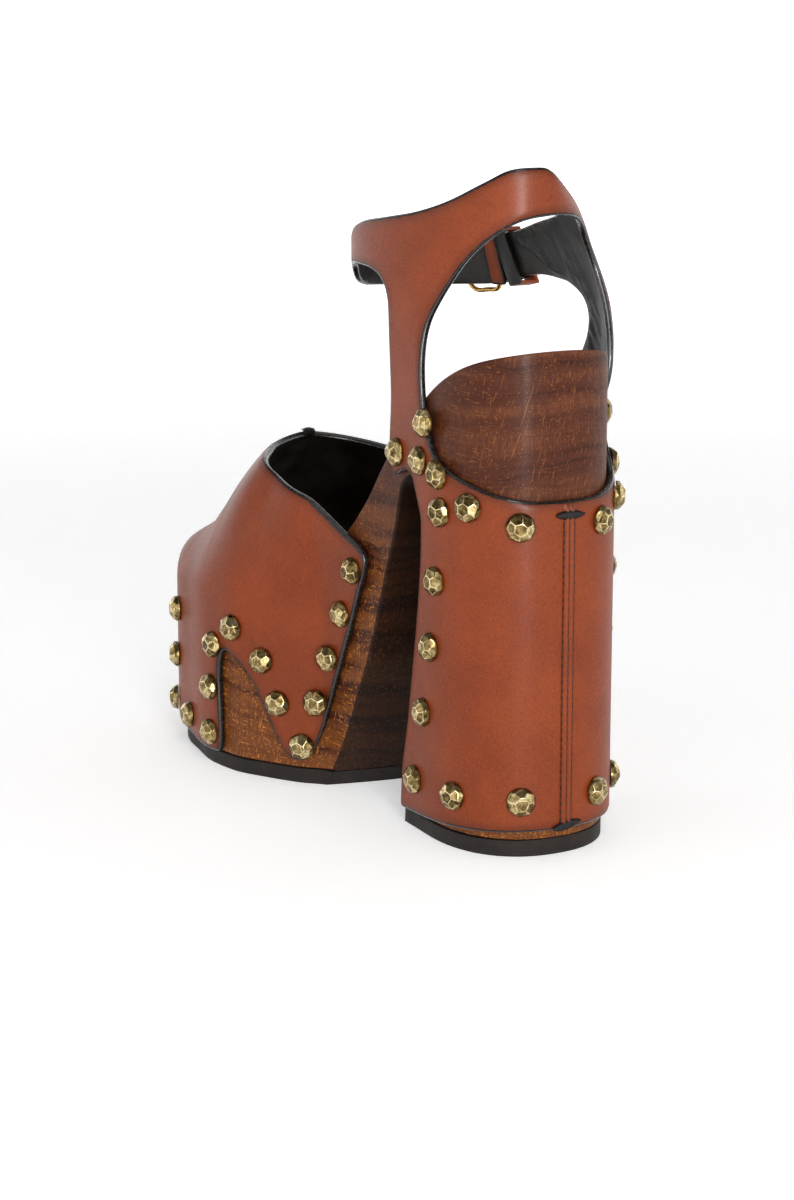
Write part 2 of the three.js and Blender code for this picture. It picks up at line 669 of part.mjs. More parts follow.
// Studs: domed caps with flat hammered faces, seated on the leather
const vampStudRows = [
  { along: 0.849, up: 0.441 },
  { along: 0.861, up: 0.286 },
  { along: 0.882, up: 0.131 },
  { along: 0.782, up: 0.123 },
  { along: 0.685, up: 0.111 },
  { along: 0.684, up: 0.256 },
  { along: 0.674, up: 0.394 },
  { along: 0.626, up: 0.462 },
  { along: 0.573, up: 0.375 },
  { along: 0.547, up: 0.248 },
  { along: 0.514, up: 0.123 },
  { along: 0.495, up: 0.265 },
  { along: 0.466, up: 0.408 },
  { along: 0.431, up: 0.555 },
  { along: 0.392, up: 0.697 },
];
const quarterStudRows = [
  { round: 0.226, up: 0.848 },
  { round: 0.186, up: 0.679 },
  { round: 0.133, up: 0.697 },
  { round: 0.064, up: 0.664 },
  { round: 0.197, up: 0.539 },
  { round: 0.21, up: 0.403 },
  { round: 0.23, up: 0.264 },
  { round: 0.259, up: 0.115 },
  { round: 0.157, up: 0.115 },
  { round: 0.06, up: 0.118 },
];

const studReach = studDiameter / 2 + 2.2;
function studSolid(frame) {
  const radius = studDiameter / 2;
  const profile = [
    new THREE.Vector2(0, 0),
    new THREE.Vector2(radius, 0),
    new THREE.Vector2(radius * 0.93, studHeight * 0.42),
    new THREE.Vector2(radius * 0.5, studHeight * 0.88),
    new THREE.Vector2(0, studHeight),
  ];
  const dome = new THREE.LatheGeometry(profile, 8).rotateX(Math.PI / 2);
  return solidFrom(dome.applyMatrix4(frame));
}

// Frame whose third axis points out of a wall, lifted clear of the wall within a reach.
// pointAt takes distances on the wall, across and up, and gives points of its outer face.
function frameOn(pointAt, outward, lift, reach) {
  const across = pointAt(reach, 0).sub(pointAt(-reach, 0)).normalize();
  const upward = pointAt(0, reach).sub(pointAt(0, -reach));
  const normal = across.clone().cross(upward).normalize();
  if (normal.dot(outward) < 0) normal.negate();
  const second = normal.clone().cross(across).normalize();
  const middle = pointAt(0, 0);
  const rises = [0, 1, 2, 3, 4, 5, 6, 7].map((i) => {
    const turn = (i * Math.PI) / 4;
    return pointAt(reach * Math.cos(turn), reach * Math.sin(turn)).sub(middle).dot(normal);
  });
  return new THREE.Matrix4().makeBasis(second.clone().cross(normal), second, normal)
    .setPosition(middle.clone().addScaledVector(normal, lift + Math.max(0, ...rises)));
}

function vampStudFrame(row, side) {
  const y = row.along * soleLength;
  const z = row.up * vampHeight;
  let low = 1;
  let high = 0.02;
  for (let i = 0; i < 40; i += 1) {
    const middle = (low + high) / 2;
    if (vampInside(side * middle, y).z < z) low = middle;
    else high = middle;
  }
  const step = 0.01;
  const span = vampInside(side * (low - step), y).distanceTo(vampInside(side * low, y)) / step;
  const at = (a, b) => vampPoint(side * low + a / span, y + b, vampWall);
  return frameOn(at, new THREE.Vector3(side, 0, 0), pieceGap, studReach);
}

function quarterFrame(round, z, lift, reach) {
  const at = (a, b) => quarterPoint(round + a, z + b, quarterWall);
  const outward = at(0, 0).sub(quarterPoint(round, z, 0));
  return frameOn(at, outward, lift, reach);
}

// Buckle on the outer side of the strap, where its two ends overlap.
// The rear bar lies in line with the short end, the front bar lies over the long end.
const buckleRear = collarRound + lateralEnd - 2 * pieceGap - buckleWire;
const buckleFront = buckleRear - buckleLength + buckleWire;
const tailFace = tailLift + quarterWall;
const barDepth = { rear: quarterWall / 2 - pieceGap, front: tailFace + pieceGap + buckleWire / 2 };

// Middle height and half height of the strap on its outer side, at a distance round the collar
function strapSpan(round) {
  const along = quarterPoint(round, collarTop * 0.85, quarterWall).y / soleLength;
  const top = collarTop * readTable(strapTopEdge.outer, along, 'up');
  const low = collarTop * readTable(strapLowEdge.outer, along, 'up');
  return { middle: (top + low) / 2, half: (top - low) / 2 };
}

// Point over the strap: share runs from the rear bar to the front one, depth counts from the collar's inside
function strapPoint(share, height, depth) {
  const round = THREE.MathUtils.lerp(buckleRear, buckleFront, share);
  return quarterPoint(round, strapSpan(round).middle + height, depth - liftAt(round));
}

// Round bar along a curve, closed on itself or cut square at both ends
function barSolid(curve, radius, steps) {
  const sides = 6;
  const frames = curve.computeFrenetFrames(steps, curve.closed);
  const rings = [];
  for (let i = 0; i < steps + (curve.closed ? 0 : 1); i += 1) {
    const centre = curve.getPointAt(i / steps);
    rings.push(Array.from({ length: sides }, (_, k) => {
      const turn = (2 * Math.PI * k) / sides;
      return centre.clone()
        .addScaledVector(frames.normals[i], radius * Math.cos(turn))
        .addScaledVector(frames.binormals[i], radius * Math.sin(turn));
    }));
  }
  const fan = Array.from({ length: sides - 2 }, (_, k) => [0, k + 1, k + 2]);
  return loftRings(rings, curve.closed ? null : fan);
}

function buckleFrameSolid() {
  const strapReach = Math.max(strapSpan(buckleRear).half, strapSpan(buckleFront).half);
  const reach = strapReach + 2 * pieceGap + buckleWire / 2;
  const corner = buckleWire * 1.1;
  const cornerShare = corner / buckleLength;
  const at = (share, height) => strapPoint(
    share, height, THREE.MathUtils.lerp(barDepth.rear, barDepth.front, share));
  const loop = [
    at(0, corner - reach),
    at(0, 0),
    at(0, reach - corner),
    at(cornerShare, reach),
    at(0.5, reach),
    at(1 - cornerShare, reach),
    at(1, reach - corner),
    at(1, 0),
    at(1, corner - reach),
    at(1 - cornerShare, -reach),
    at(0.5, -reach),
    at(cornerShare, -reach),
  ];
  return barSolid(new THREE.CatmullRomCurve3(loop, true, 'centripetal'), buckleWire / 2, 36);
}

// Prong from the rear bar up through the long end's hole and over the front bar
const prongRows = [
  { share: 0.17, rise: 0 },
  { share: 0.4, rise: 0.3 },
  { share: 0.65, rise: 0.75 },
  { share: 0.85, rise: 0.97 },
  { share: 1.08, rise: 1 },
];
function prongSolid(grow) {
  const overBar = barDepth.front + buckleWire / 2 + pieceGap + prongWire / 2;
  const points = prongRows.map((row) => strapPoint(
    row.share, 0, THREE.MathUtils.lerp(barDepth.rear, overBar, row.rise)));
  return barSolid(new THREE.CatmullRomCurve3(points), prongWire / 2 + grow, 10);
}

function keeperSolid() {
  const round = collarRound + lateralEnd + keeperSpacing;
  const { middle, half: strapReach } = strapSpan(round);
  const half = strapReach + 3 * pieceGap;
  const inside = -quarterWall * 2 - pieceGap * 3.5;
  const outside = pieceGap * 2;
  const rect = (grow) => [
    new THREE.Vector2(inside - grow, -half - grow),
    new THREE.Vector2(outside + grow, -half - grow),
    new THREE.Vector2(outside + grow, half + grow),
    new THREE.Vector2(inside - grow, half + grow),
  ];
  const shape = new THREE.Shape(rect(keeperWall));
  shape.holes.push(new THREE.Path(rect(0)));
  const band = new THREE.ExtrudeGeometry(shape, { depth: keeperWidth, bevelEnabled: false });
  band.translate(0, 0, -keeperWidth / 2);
  const turned = new THREE.Matrix4().makeBasis(
    new THREE.Vector3(0, 0, 1), new THREE.Vector3(0, 1, 0), new THREE.Vector3(-1, 0, 0));
  const slope = (strapSpan(round + 2).middle - strapSpan(round - 2).middle) / 4;
  const lean = new THREE.Matrix4().makeShear(0, 0, 0, 0, 0, collarLean);
  band.applyMatrix4(turned).applyMatrix4(lean).rotateZ(-Math.atan(slope));
  return solidFrom(band.applyMatrix4(quarterFrame(round, middle, 0, keeperWidth / 2)));
}

// Finishes
const finish = (color, roughness, metalness = 0) => new THREE.MeshStandardMaterial({ color, roughness, metalness });
const wood = finish('#6b3d22', 0.45);
const rubber = finish('#211c19', 0.7);
const tan = finish('#8b4a2b', 0.5);
const lining = finish('#1d1a18', 0.6);
const brass = finish('#8a7340', 0.35, 1);
const gold = finish('#c9a15a', 0.25, 1);

const shoe = new THREE.Group();
shoe.position.set(-outlineX(heelDepth / 2, -1) / 2 - outlineX(heelDepth / 2, 1) / 2, -heelDepth / 2, 0);
shoe.add(
  meshFrom(soleWood, 'sole_wood', wood),
  meshFrom(outsoleHalves[0], 'outsole_heel', rubber),
  meshFrom(outsoleHalves[1], 'outsole_forefoot', rubber),
  meshFrom(insole, 'insole', lining),
  meshFrom(vampSolid(), 'vamp', tan),
  meshFrom(quarterSolid(), 'quarter', tan),
  meshFrom(buckleFrameSolid(), 'buckle_frame', gold),
  meshFrom(prongSolid(0), 'buckle_prong', gold),
  meshFrom(keeperSolid(), 'strap_keeper', tan),
);
for (const [label, side] of [['inner', -1], ['outer', 1]]) {
  vampStudRows.forEach((row, i) => {
    shoe.add(meshFrom(studSolid(vampStudFrame(row, side)), `stud_vamp_${label}_${i + 1}`, brass));
  });
  quarterStudRows.forEach((row, i) => {
    const round = -side * row.round * soleLength;
    const frame = quarterFrame(round, row.up * heelHeight, pieceGap, studReach);
    shoe.add(meshFrom(studSolid(frame), `stud_heel_${label}_${i + 1}`, brass));
  });
}

export default shoe;
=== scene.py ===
"""Looks of a platform clog sandal for the right foot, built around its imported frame.

The frame is in metres. The shoe's own shapes are worked out in millimetres here and scaled as they are made.
"""
import math
import random

import bmesh
import bpy
import numpy as np
from bpy.props import FloatProperty, IntProperty, PointerProperty, StringProperty
from mathutils import Matrix, Vector, kdtree
from mathutils.geometry import delaunay_2d_cdt


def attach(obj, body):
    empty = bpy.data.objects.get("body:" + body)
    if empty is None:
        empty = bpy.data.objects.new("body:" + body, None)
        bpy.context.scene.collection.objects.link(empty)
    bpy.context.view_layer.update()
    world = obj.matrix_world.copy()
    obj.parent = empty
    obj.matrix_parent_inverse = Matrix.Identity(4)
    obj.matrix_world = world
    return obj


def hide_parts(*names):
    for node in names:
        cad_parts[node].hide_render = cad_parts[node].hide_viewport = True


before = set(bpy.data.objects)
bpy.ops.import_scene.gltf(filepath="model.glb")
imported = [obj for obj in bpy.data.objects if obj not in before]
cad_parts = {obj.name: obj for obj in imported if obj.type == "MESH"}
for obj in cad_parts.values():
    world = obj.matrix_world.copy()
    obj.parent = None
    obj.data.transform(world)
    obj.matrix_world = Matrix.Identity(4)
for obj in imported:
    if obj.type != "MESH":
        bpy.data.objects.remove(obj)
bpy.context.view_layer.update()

bl_info = {
    "name": "Platform Clog Sandal",
    "version": (1, 0, 0),
    "blender": (4, 5, 0),
    "location": "View3D > Sidebar > Clog Sandal",
    "description": "Builds a wooden platform sandal with a studded leather upper",
    "category": "Add Mesh",
}

MM = 0.001

# Driving dimensions of the last and the upper, in millimetres
SOLE_LENGTH = 226.0
BALL_WIDTH = 95.2
HEEL_HEIGHT = 165.0
PLATFORM_HEIGHT = 61.0
TOE_SPRING = 5.0
OUTSOLE = 5.5
INSOLE = 1.8
INSOLE_INSET = 3.0
ARCH_HEIGHT = 120.0
ARCH_SPAN = 53.5
HEEL_DEPTH = 57.0
HEEL_AXIS_TURN = 5.0
REAR_FACE_BULGE = 3.5
VAMP_WALL = 2.8
QUARTER_WALL = 2.5
VAMP_HEIGHT = 118.0
THROAT_DROP = 3.0
COLLAR_WIDTH = 67.0
COLLAR_LENGTH = 104.0
COLLAR_BACK = 15.0
COLLAR_SHIFT = 4.0
COLLAR_TOP = 221.5
COLLAR_LEAN = 0.3
COLLAR_CURL = 0.02
STRAP_SHORT = 37.0
STRAP_LAP_SHARE = 6 / 44
STUD_DIAMETER = 9.6
STUD_HEIGHT = 3.4
GAP = 0.3

# Sole outline from above: share of the length, centre and half width in half ball widths
PLAN_ROWS = (
    (0.0, -0.004, 0.638), (0.133, 0.05, 0.637), (0.243, 0.098, 0.636), (0.332, 0.132, 0.637),
    (0.42, 0.142, 0.656), (0.48, 0.15, 0.7), (0.522, 0.089, 0.804), (0.575, 0.037, 0.898),
    (0.642, -0.015, 0.981), (0.704, -0.023, 1.0), (0.801, -0.006, 0.945), (0.885, -0.01, 0.868),
    (0.951, -0.02, 0.77), (1.0, -0.03, 0.64),
)
HEEL_ROUNDING = (0.172, 2.33)
TOE_ROUNDING = (0.177, 2.2)

# Footbed from the side: share of the length, share of the fall from heel to platform
FOOTBED_ROWS = (
    (0, 1), (0.07, 0.956), (0.14, 0.886), (0.23, 0.758), (0.323, 0.587), (0.387, 0.426), (0.43, 0.334),
    (0.487, 0.226), (0.553, 0.13), (0.62, 0.0625), (0.704, 0.017), (0.801, 0), (1, 0.029),
)

# Arch from the side: share of its height, then its rear and front walls as shares of its span
ARCH_ROWS = (
    (0.0, 0.0, 1.0), (0.167, -0.03, 0.806), (0.292, -0.1, 0.673), (0.45, -0.172, 0.505),
    (0.6, -0.238, 0.374), (0.725, -0.281, 0.262), (0.833, -0.302, 0.15), (0.9, -0.304, 0.102),
    (0.955, -0.26, 0.055), (0.985, -0.19, -0.005), (1.0, -0.12, -0.08),
)

# Vamp sections: share of the length, shoulder and crown heights, inner and outer powers, flare
VAMP_ROWS = (
    (0.34, 0.52, 1.19, 3.0, 3.0, 0.02), (0.372, 0.52, 1.19, 3.0, 3.0, 0.03),
    (0.43, 0.53, 1.17, 3.0, 3.0, 0.06), (0.478, 0.54, 1.15, 3.0, 3.0, 0.075),
    (0.513, 0.56, 1.135, 2.9, 2.9, 0.04), (0.584, 0.59, 1.1, 2.3, 2.3, 0.0),
    (0.646, 0.58, 1.068, 2.0, 2.0, 0), (0.708, 0.56, 1.06, 1.55, 1.55, 0),
    (0.765, 0.55, 0.99, 1.4, 1.4, 0), (0.805, 0.54, 0.875, 1.5, 1.35, 0),
    (0.84, 0.535, 0.785, 1.7, 1.4, 0), (0.875, 0.53, 0.715, 2.3, 1.5, 0),
    (0.91, 0.53, 0.675, 3.1, 1.6, 0), (0.935, 0.53, 0.665, 3.4, 1.65, 0),
)

# Cut edges of the vamp from the side, as shares of the sole length and of the vamp's height
VAMP_LOWER_EDGE = (
    (0.366, 0.757), (0.361, 0.72), (0.383, 0.633), (0.413, 0.513), (0.444, 0.386), (0.473, 0.252),
    (0.492, 0.156), (0.504, 0.099), (0.518, 0.072), (0.538, 0.096), (0.56, 0.178), (0.584, 0.271),
    (0.612, 0.347), (0.64, 0.385), (0.657, 0.372), (0.664, 0.297), (0.66, 0.15), (0.663, 0.062),
    (0.68, 0.052), (0.77, 0.057), (0.85, 0.067), (0.9, 0.08),
)
TOE_OPENING_EDGE = ((0.918, 0.12), (0.921, 0.5), (0.916, 0.6), (0.9, 0.66), (0.885, 0.72), (0.88, 0.9))
THROAT_EDGE = (
    (0.766, 1.02), (0.765, 0.998), (0.748, 0.99), (0.708, 0.975), (0.646, 0.958), (0.584, 0.932),
    (0.513, 0.898), (0.47, 0.858), (0.43, 0.815), (0.385, 0.775),
)

# Cut edges of the quarter from the side, as shares of the sole length and of the heel height
STRUT_FOOT_EDGE = {
    1: (
        (0.206, 0.733), (0.22, 0.74), (0.235, 0.739), (0.25, 0.731), (0.262, 0.723), (0.281, 0.742),
        (0.286, 0.77), (0.28, 0.87), (0.275, 0.97), (0.275, 1.06), (0.284, 1.1), (0.305, 1.125),
        (0.34, 1.136),
    ),
    -1: (
        (0.18, 0.735), (0.196, 0.74), (0.212, 0.739), (0.226, 0.731), (0.238, 0.723), (0.252, 0.742),
        (0.252, 0.77), (0.238, 0.86), (0.214, 0.95), (0.205, 1.0), (0.209, 1.04), (0.228, 1.072),
        (0.266, 1.096),
    ),
}
REAR_OPENING_EDGE = {
    1: (
        (0.055, 1.253), (0.075, 1.245), (0.105, 1.205), (0.13, 1.165), (0.15, 1.125), (0.165, 1.085),
        (0.177, 1.035), (0.178, 0.97), (0.172, 0.885), (0.155, 0.83), (0.128, 0.78), (0.065, 0.744),
        (0.0, 0.712),
    ),
    -1: (
        (0.055, 1.253), (0.08, 1.248), (0.107, 1.237), (0.132, 1.21), (0.146, 1.17), (0.146, 1.12),
        (0.128, 1.05), (0.107, 0.98), (0.106, 0.92), (0.122, 0.86), (0.11, 0.8), (0.065, 0.744),
        (0.0, 0.712),
    ),
}

# Ankle strap from the side, as shares of the sole length and of the collar's top
STRAP_TOP_EDGE = {
    1: (
        (0.05, 1.0), (0.085, 0.998), (0.11, 0.98), (0.155, 0.953), (0.21, 0.935), (0.28, 0.924),
        (0.36, 0.914), (0.43, 0.897), (0.5, 0.872), (0.54, 0.862),
    ),
    -1: (
        (0.058, 1.0), (0.07, 0.996), (0.083, 0.987), (0.104, 0.969), (0.14, 0.946), (0.2, 0.93),
        (0.26, 0.918), (0.32, 0.905), (0.376, 0.889), (0.43, 0.88), (0.5, 0.867), (0.54, 0.862),
    ),
}
STRAP_LOW_EDGE = {
    1: ((0.375, 0.847), (0.42, 0.846), (0.448, 0.838), (0.473, 0.818), (0.5, 0.804), (0.54, 0.8)),
    -1: (
        (0.32, 0.822), (0.35, 0.822), (0.38, 0.816), (0.411, 0.807), (0.451, 0.801), (0.5, 0.799),
        (0.54, 0.8),
    ),
}

# Studs that stand on the feet of the struts: share of the sole length round the heel, share of its height
STRUT_STUD_ROWS = ((0.323, 0.773), (0.243, 0.77), (0.192, 0.752))

# Hem of the heel cover from the side: place along the shoe and height
HEM_ROWS = ((-10, 9.3), (19.95, 8.02), (55.8, 6.1))

# Fuller place of the outer strut: place round the heel, height, reach and depth
STRUT_FULLNESS = (-34, 181, 15, 3.0)

# Lowest and highest level of the leather folded round the buckle
FOLD_LEVELS = (177.6, 197.6)

# Studio in metres: flat floor's reach, radius of its turn, height of its wall, light of the air
FLOOR_REACH = 2.6
FLOOR_TURN = 1.4
WALL_TOP = 3.0
AIR_LIGHT = 0.08
LIGHTS_AIM = (0.0, 0.07, 0.1)
# Soft boxes: name, place, size and watts
LIGHT_BOXES = (
    ("key_box", (-0.62, -1.37, 0.8), (0.35, 1.3), 11),
    ("strip_box", (-0.34, -1.15, 0.17), (0.16, 0.32), 4.6),
    ("side_box", (-1.5, 0.3, 0.8), (0.7, 1.0), 0.8),
    ("top_box", (0.1, 0.2, 1.6), (1.2, 1.2), 3.6),
)
CAMERA_PLACE = (-0.45178, -0.71172, 0.25149)
CAMERA_TILT = 78.45
CAMERA_HEADING = 29.64
CAMERA_LENS = 77.75


def smooth(value, low, high):
    """Soft step from 0 at low to 1 at high."""
    t = np.clip((value - low) / (high - low), 0, 1)
    return t * t * (3 - 2 * t)


def read_table(rows, place, column):
    """Value of a column along a table, smooth and without overshoot between its rows."""
    table = np.array(rows, float)
    along, value = table[:, 0], table[:, column]
    slope = np.diff(value) / np.diff(along)
    before, after = slope[:-1], slope[1:]
    level = before * after > 0
    inner = np.where(level, 2 * before * after / np.where(level, before + after, 1), 0)
    tangent = np.concatenate([slope[:1], inner, slope[-1:]])
    place = np.asarray(place, float)
    row = np.clip(np.searchsorted(along, place) - 1, 0, len(along) - 2)
    step = along[row + 1] - along[row]
    t = np.clip((place - along[row]) / step, 0, 1)
    t2, t3 = t * t, t * t * t
    return ((2 * t3 - 3 * t2 + 1) * value[row] + (t3 - 2 * t2 + t) * step * tangent[row]
            + (3 * t2 - 2 * t3) * value[row + 1] + (t3 - t2) * step * tangent[row + 1])


def smooth_edge(rows, high, steps=160):
    """Smooth curve through the points of an edge, as (y, z) in millimetres."""
    points = np.array(rows, float) * (SOLE_LENGTH, high)
    last = len(points) - 1
    t = np.linspace(0, last, steps + 1)
    row = np.minimum(t.astype(int), last - 1)
    w = (t - row)[:, None]
    p0, p1 = points[np.maximum(row - 1, 0)], points[row]
    p2, p3 = points[row + 1], points[np.minimum(row + 2, last)]
    v0, v1 = (p2 - p0) / 2, (p3 - p1) / 2
    return (2 * p1 - 2 * p2 + v0 + v1) * w ** 3 + (3 * p2 - 3 * p1 - 2 * v0 - v1) * w ** 2 + v0 * w + p1


def outline_x(y, side):
    """Side of the sole's outline at a place along it: -1 is the inner side and 1 the outer one."""
    along = np.clip(np.asarray(y, float) / SOLE_LENGTH, 0, 1)
    heel = np.maximum(0, 1 - along / HEEL_ROUNDING[0])
    toe = np.maximum(0, 1 - (1 - along) / TOE_ROUNDING[0])
    rounding = ((1 - heel ** HEEL_ROUNDING[1]) ** (1 / HEEL_ROUNDING[1])
                * (1 - toe ** TOE_ROUNDING[1]) ** (1 / TOE_ROUNDING[1]))
    half = read_table(PLAN_ROWS, along, 2) * rounding
    return (read_table(PLAN_ROWS, along, 1) + side * half) * BALL_WIDTH / 2


def footbed_z(y):
    """Height of the footbed along the sole."""
    pitch = read_table(FOOTBED_ROWS, np.clip(y / SOLE_LENGTH, 0, 1), 1)
    return PLATFORM_HEIGHT + (HEEL_HEIGHT - PLATFORM_HEIGHT) * pitch


def tread_z(y):
    """Height of the tread along the sole, which rises at the toe."""
    start = 0.77 * SOLE_LENGTH
    return TOE_SPRING * np.maximum(0, (y - start) / (SOLE_LENGTH - start)) ** 2


ARCH_INNER_X = float(outline_x(HEEL_DEPTH, -1))
AXIS_SLOPE = math.tan(math.radians(HEEL_AXIS_TURN))
FRAME_SHIFT = np.array([
    -float(outline_x(HEEL_DEPTH / 2, -1) + outline_x(HEEL_DEPTH / 2, 1)) / 2, -HEEL_DEPTH / 2, 0.0])


def arch_rear_y(z):
    """Rear wall of the arch on the inner side, at a height."""
    return HEEL_DEPTH + ARCH_SPAN * read_table(ARCH_ROWS, z / ARCH_HEIGHT, 1)


def vamp_inside(across, y):
    """Inner face of the vamp, from -1 at the inner bottom edge over the crown to 1 at the outer one."""
    along = y / SOLE_LENGTH
    side = np.where(across < 0, -1.0, 1.0)
    shoulder = VAMP_HEIGHT * read_table(VAMP_ROWS, along, 1)
    crown = VAMP_HEIGHT * read_table(VAMP_ROWS, along, 2)
    power = np.where(side < 0, read_table(VAMP_ROWS, along, 3), read_table(VAMP_ROWS, along, 4))
    flare = BALL_WIDTH * read_table(VAMP_ROWS, along, 5)
    wall_x = outline_x(y, side) + side * GAP
    middle_x = (outline_x(y, -1) + outline_x(y, 1)) / 2
    reach = np.abs(across)
    turn = (1 - np.minimum(reach, 0.5) / 0.5) * np.pi / 2
    rounded = np.clip(np.cos(turn), 0, 1) ** (2 / power)
    x = middle_x + (wall_x - middle_x) * rounded + side * flare * np.sin(2 * turn)
    z = shoulder + (crown - shoulder) * np.sin(turn) ** (2 / power)
    wall_z = shoulder + (OUTSOLE * 0.6 - shoulder) * (reach - 0.5) / 0.5
    on_wall = reach > 0.5
    return np.stack([np.where(on_wall, wall_x, x), y, np.where(on_wall, wall_z, z)], -1)


def vamp_point(across, y, depth):
    """Point in the vamp's wall, at a depth outwards from its inner face."""
    step = 0.01
    a = vamp_inside(np.maximum(-1, across - step), y)
    b = vamp_inside(np.minimum(1, across + step), y)
    c = vamp_inside(across, y - 0.5)
    d = vamp_inside(across, y + 0.5)
    normal = np.cross(b - a, d - c)
    normal /= np.linalg.norm(normal, axis=-1, keepdims=True)
    return vamp_inside(across, y) + normal * np.asarray(depth)[..., None]


def vamp_across(y, z, side):
    """Place across the vamp where its inner face has a height."""
    low, high = np.ones_like(y), np.zeros_like(y)
    for _ in range(40):
        middle = (low + high) / 2
        above = vamp_inside(side * np.maximum(middle, 1e-9), y)[:, 2] < z
        low = np.where(above, middle, low)
        high = np.where(above, high, middle)
    return side * low


def walk_along(points):
    """Function of the distance along a polyline that gives the point and the direction there."""
    lengths = np.concatenate([[0], np.cumsum(np.linalg.norm(np.diff(points, axis=0), axis=1))])
    tangent = np.gradient(points, lengths, axis=0)
    tangent /= np.linalg.norm(tangent, axis=1, keepdims=True)

    def at(distance):
        point = np.stack([np.interp(distance, lengths, points[:, k]) for k in (0, 1)], -1)
        along = np.stack([np.interp(distance, lengths, tangent[:, k]) for k in (0, 1)], -1)
        return point, along / np.linalg.norm(along, axis=-1, keepdims=True)

    return at, float(lengths[-1])


WALK_STEPS = 900
HEEL_Y = SOLE_LENGTH * (1 - np.cos(np.pi * np.arange(WALK_STEPS + 1) / WALK_STEPS)) / 2
HEEL_WALK = {side: walk_along(np.stack([outline_x(HEEL_Y, side), HEEL_Y], -1))[0] for side in (-1, 1)}
COLLAR_TURN = 2 * np.pi * np.arange(2 * WALK_STEPS + 1) / (2 * WALK_STEPS)
COLLAR_WALK, COLLAR_ROUND = walk_along(np.stack([
    COLLAR_SHIFT - (COLLAR_WIDTH / 2 - QUARTER_WALL) * np.sin(COLLAR_TURN),
    COLLAR_BACK + COLLAR_LENGTH / 2 - (COLLAR_LENGTH / 2 - QUARTER_WALL) * np.cos(COLLAR_TURN)], -1))
BLEND_LOW = HEEL_HEIGHT * 0.86
BLEND_HIGH = (HEEL_HEIGHT * 1.13, HEEL_HEIGHT * 1.06)
COLLAR_WAIST = COLLAR_TOP * 0.9
STRAP_START = HEEL_DEPTH * 1.4
STRAP_FULL = HEEL_DEPTH * 1.95
LATERAL_END = -(COLLAR_ROUND / 2 - STRAP_SHORT)
STRAP_LAP = COLLAR_ROUND * STRAP_LAP_SHARE
TAIL_END = COLLAR_ROUND + LATERAL_END + STRAP_LAP


def lift_at(walk):
    """Distance that the long end of the strap stands off the short end that it laps."""
    return (QUARTER_WALL + GAP) * smooth(walk, TAIL_END - STRAP_LAP * 1.9, TAIL_END - STRAP_LAP * 1.15)


def quarter_point(walk, z, depth):
    """Point in the quarter's wall: walk runs round the heel, positive along the inner side."""
    walk, z = np.broadcast_arrays(np.asarray(walk, float), np.asarray(z, float))
    place = np.where(walk > COLLAR_ROUND / 2, walk - COLLAR_ROUND, walk)
    stand = depth + lift_at(walk)
    heel = np.zeros(walk.shape + (2,))
    for side, mask in ((-1, place >= 0), (1, place < 0)):
        point, along = HEEL_WALK[side](np.minimum(np.abs(place), SOLE_LENGTH / 2))
        out = np.stack([along[..., 1], -along[..., 0]], -1) * side
        offset = point + out * (GAP + stand)[..., None]
        heel = np.where(mask[..., None], offset, heel)
    point, along = COLLAR_WALK(np.where(place >= 0, place, COLLAR_ROUND + place))
    out = np.stack([-along[..., 1], along[..., 0]], -1)
    above = z - COLLAR_WAIST
    lean = np.maximum(0, out[..., 0]) * (-COLLAR_LEAN * above - COLLAR_CURL * np.maximum(0, above) ** 2)
    collar = point + out * stand[..., None]
    collar[..., 0] += lean
    on_strap = smooth(np.abs(place), STRAP_START * 0.8, STRAP_START)
    blend_top = BLEND_HIGH[0] + (BLEND_HIGH[1] - BLEND_HIGH[0]) * on_strap
    share = np.maximum(smooth(z, BLEND_LOW, blend_top), smooth(np.abs(place), STRAP_START, STRAP_FULL))
    mixed = heel + (collar - heel) * share[..., None]
    return np.concatenate([mixed, z[..., None]], -1)


def quarter_walk(y, z, sign):
    """Place round the heel where the wall's middle is at a place along the shoe, at a height."""
    low, high = np.zeros_like(y), np.full_like(y, COLLAR_ROUND / 2)
    for _ in range(40):
        middle = (low + high) / 2
        behind = quarter_point(sign * np.maximum(middle, 1e-9), z, QUARTER_WALL / 2)[:, 1] < y
        low = np.where(behind, middle, low)
        high = np.where(behind, high, middle)
    return sign * low


def strap_edge_z(walk, edges):
    """Height of an edge of the strap at places round it. The edges are (y, z) curves by side."""
    z = np.full_like(walk, COLLAR_TOP * 0.9)
    front = smooth(walk, COLLAR_ROUND / 2 - 6, COLLAR_ROUND / 2 + 6)
    for _ in range(8):
        y = quarter_point(walk, z, QUARTER_WALL / 2)[:, 1]
        inner = np.interp(y, edges[1][:, 0], edges[1][:, 1])
        outer = np.interp(y, edges[-1][:, 0], edges[-1][:, 1])
        lateral = np.where(walk < 0, 1.0, front)
        z = inner + (outer - inner) * lateral
    return z


def resample(points, spacing):
    """Points at even distances round a closed outline."""
    closed = np.vstack([points, points[:1]])
    lengths = np.concatenate([[0], np.cumsum(np.linalg.norm(np.diff(closed, axis=0), axis=1))])
    count = max(8, round(lengths[-1] / spacing))
    at = np.arange(count) * lengths[-1] / count
    return np.stack([np.interp(at, lengths, closed[:, k]) for k in (0, 1)], -1)


def inside_loops(points, loops):
    """Which points lie inside an odd number of the loops."""
    inside = np.zeros(len(points), bool)
    for loop in loops:
        for (ax, ay), (bx, by) in zip(loop, np.roll(loop, -1, axis=0)):
            if ay == by:
                continue
            crosses = (points[:, 1] > ay) != (points[:, 1] > by)
            cut = ax + (points[:, 1] - ay) * (bx - ax) / (by - ay)
            inside ^= crosses & (points[:, 0] < cut)
    return inside


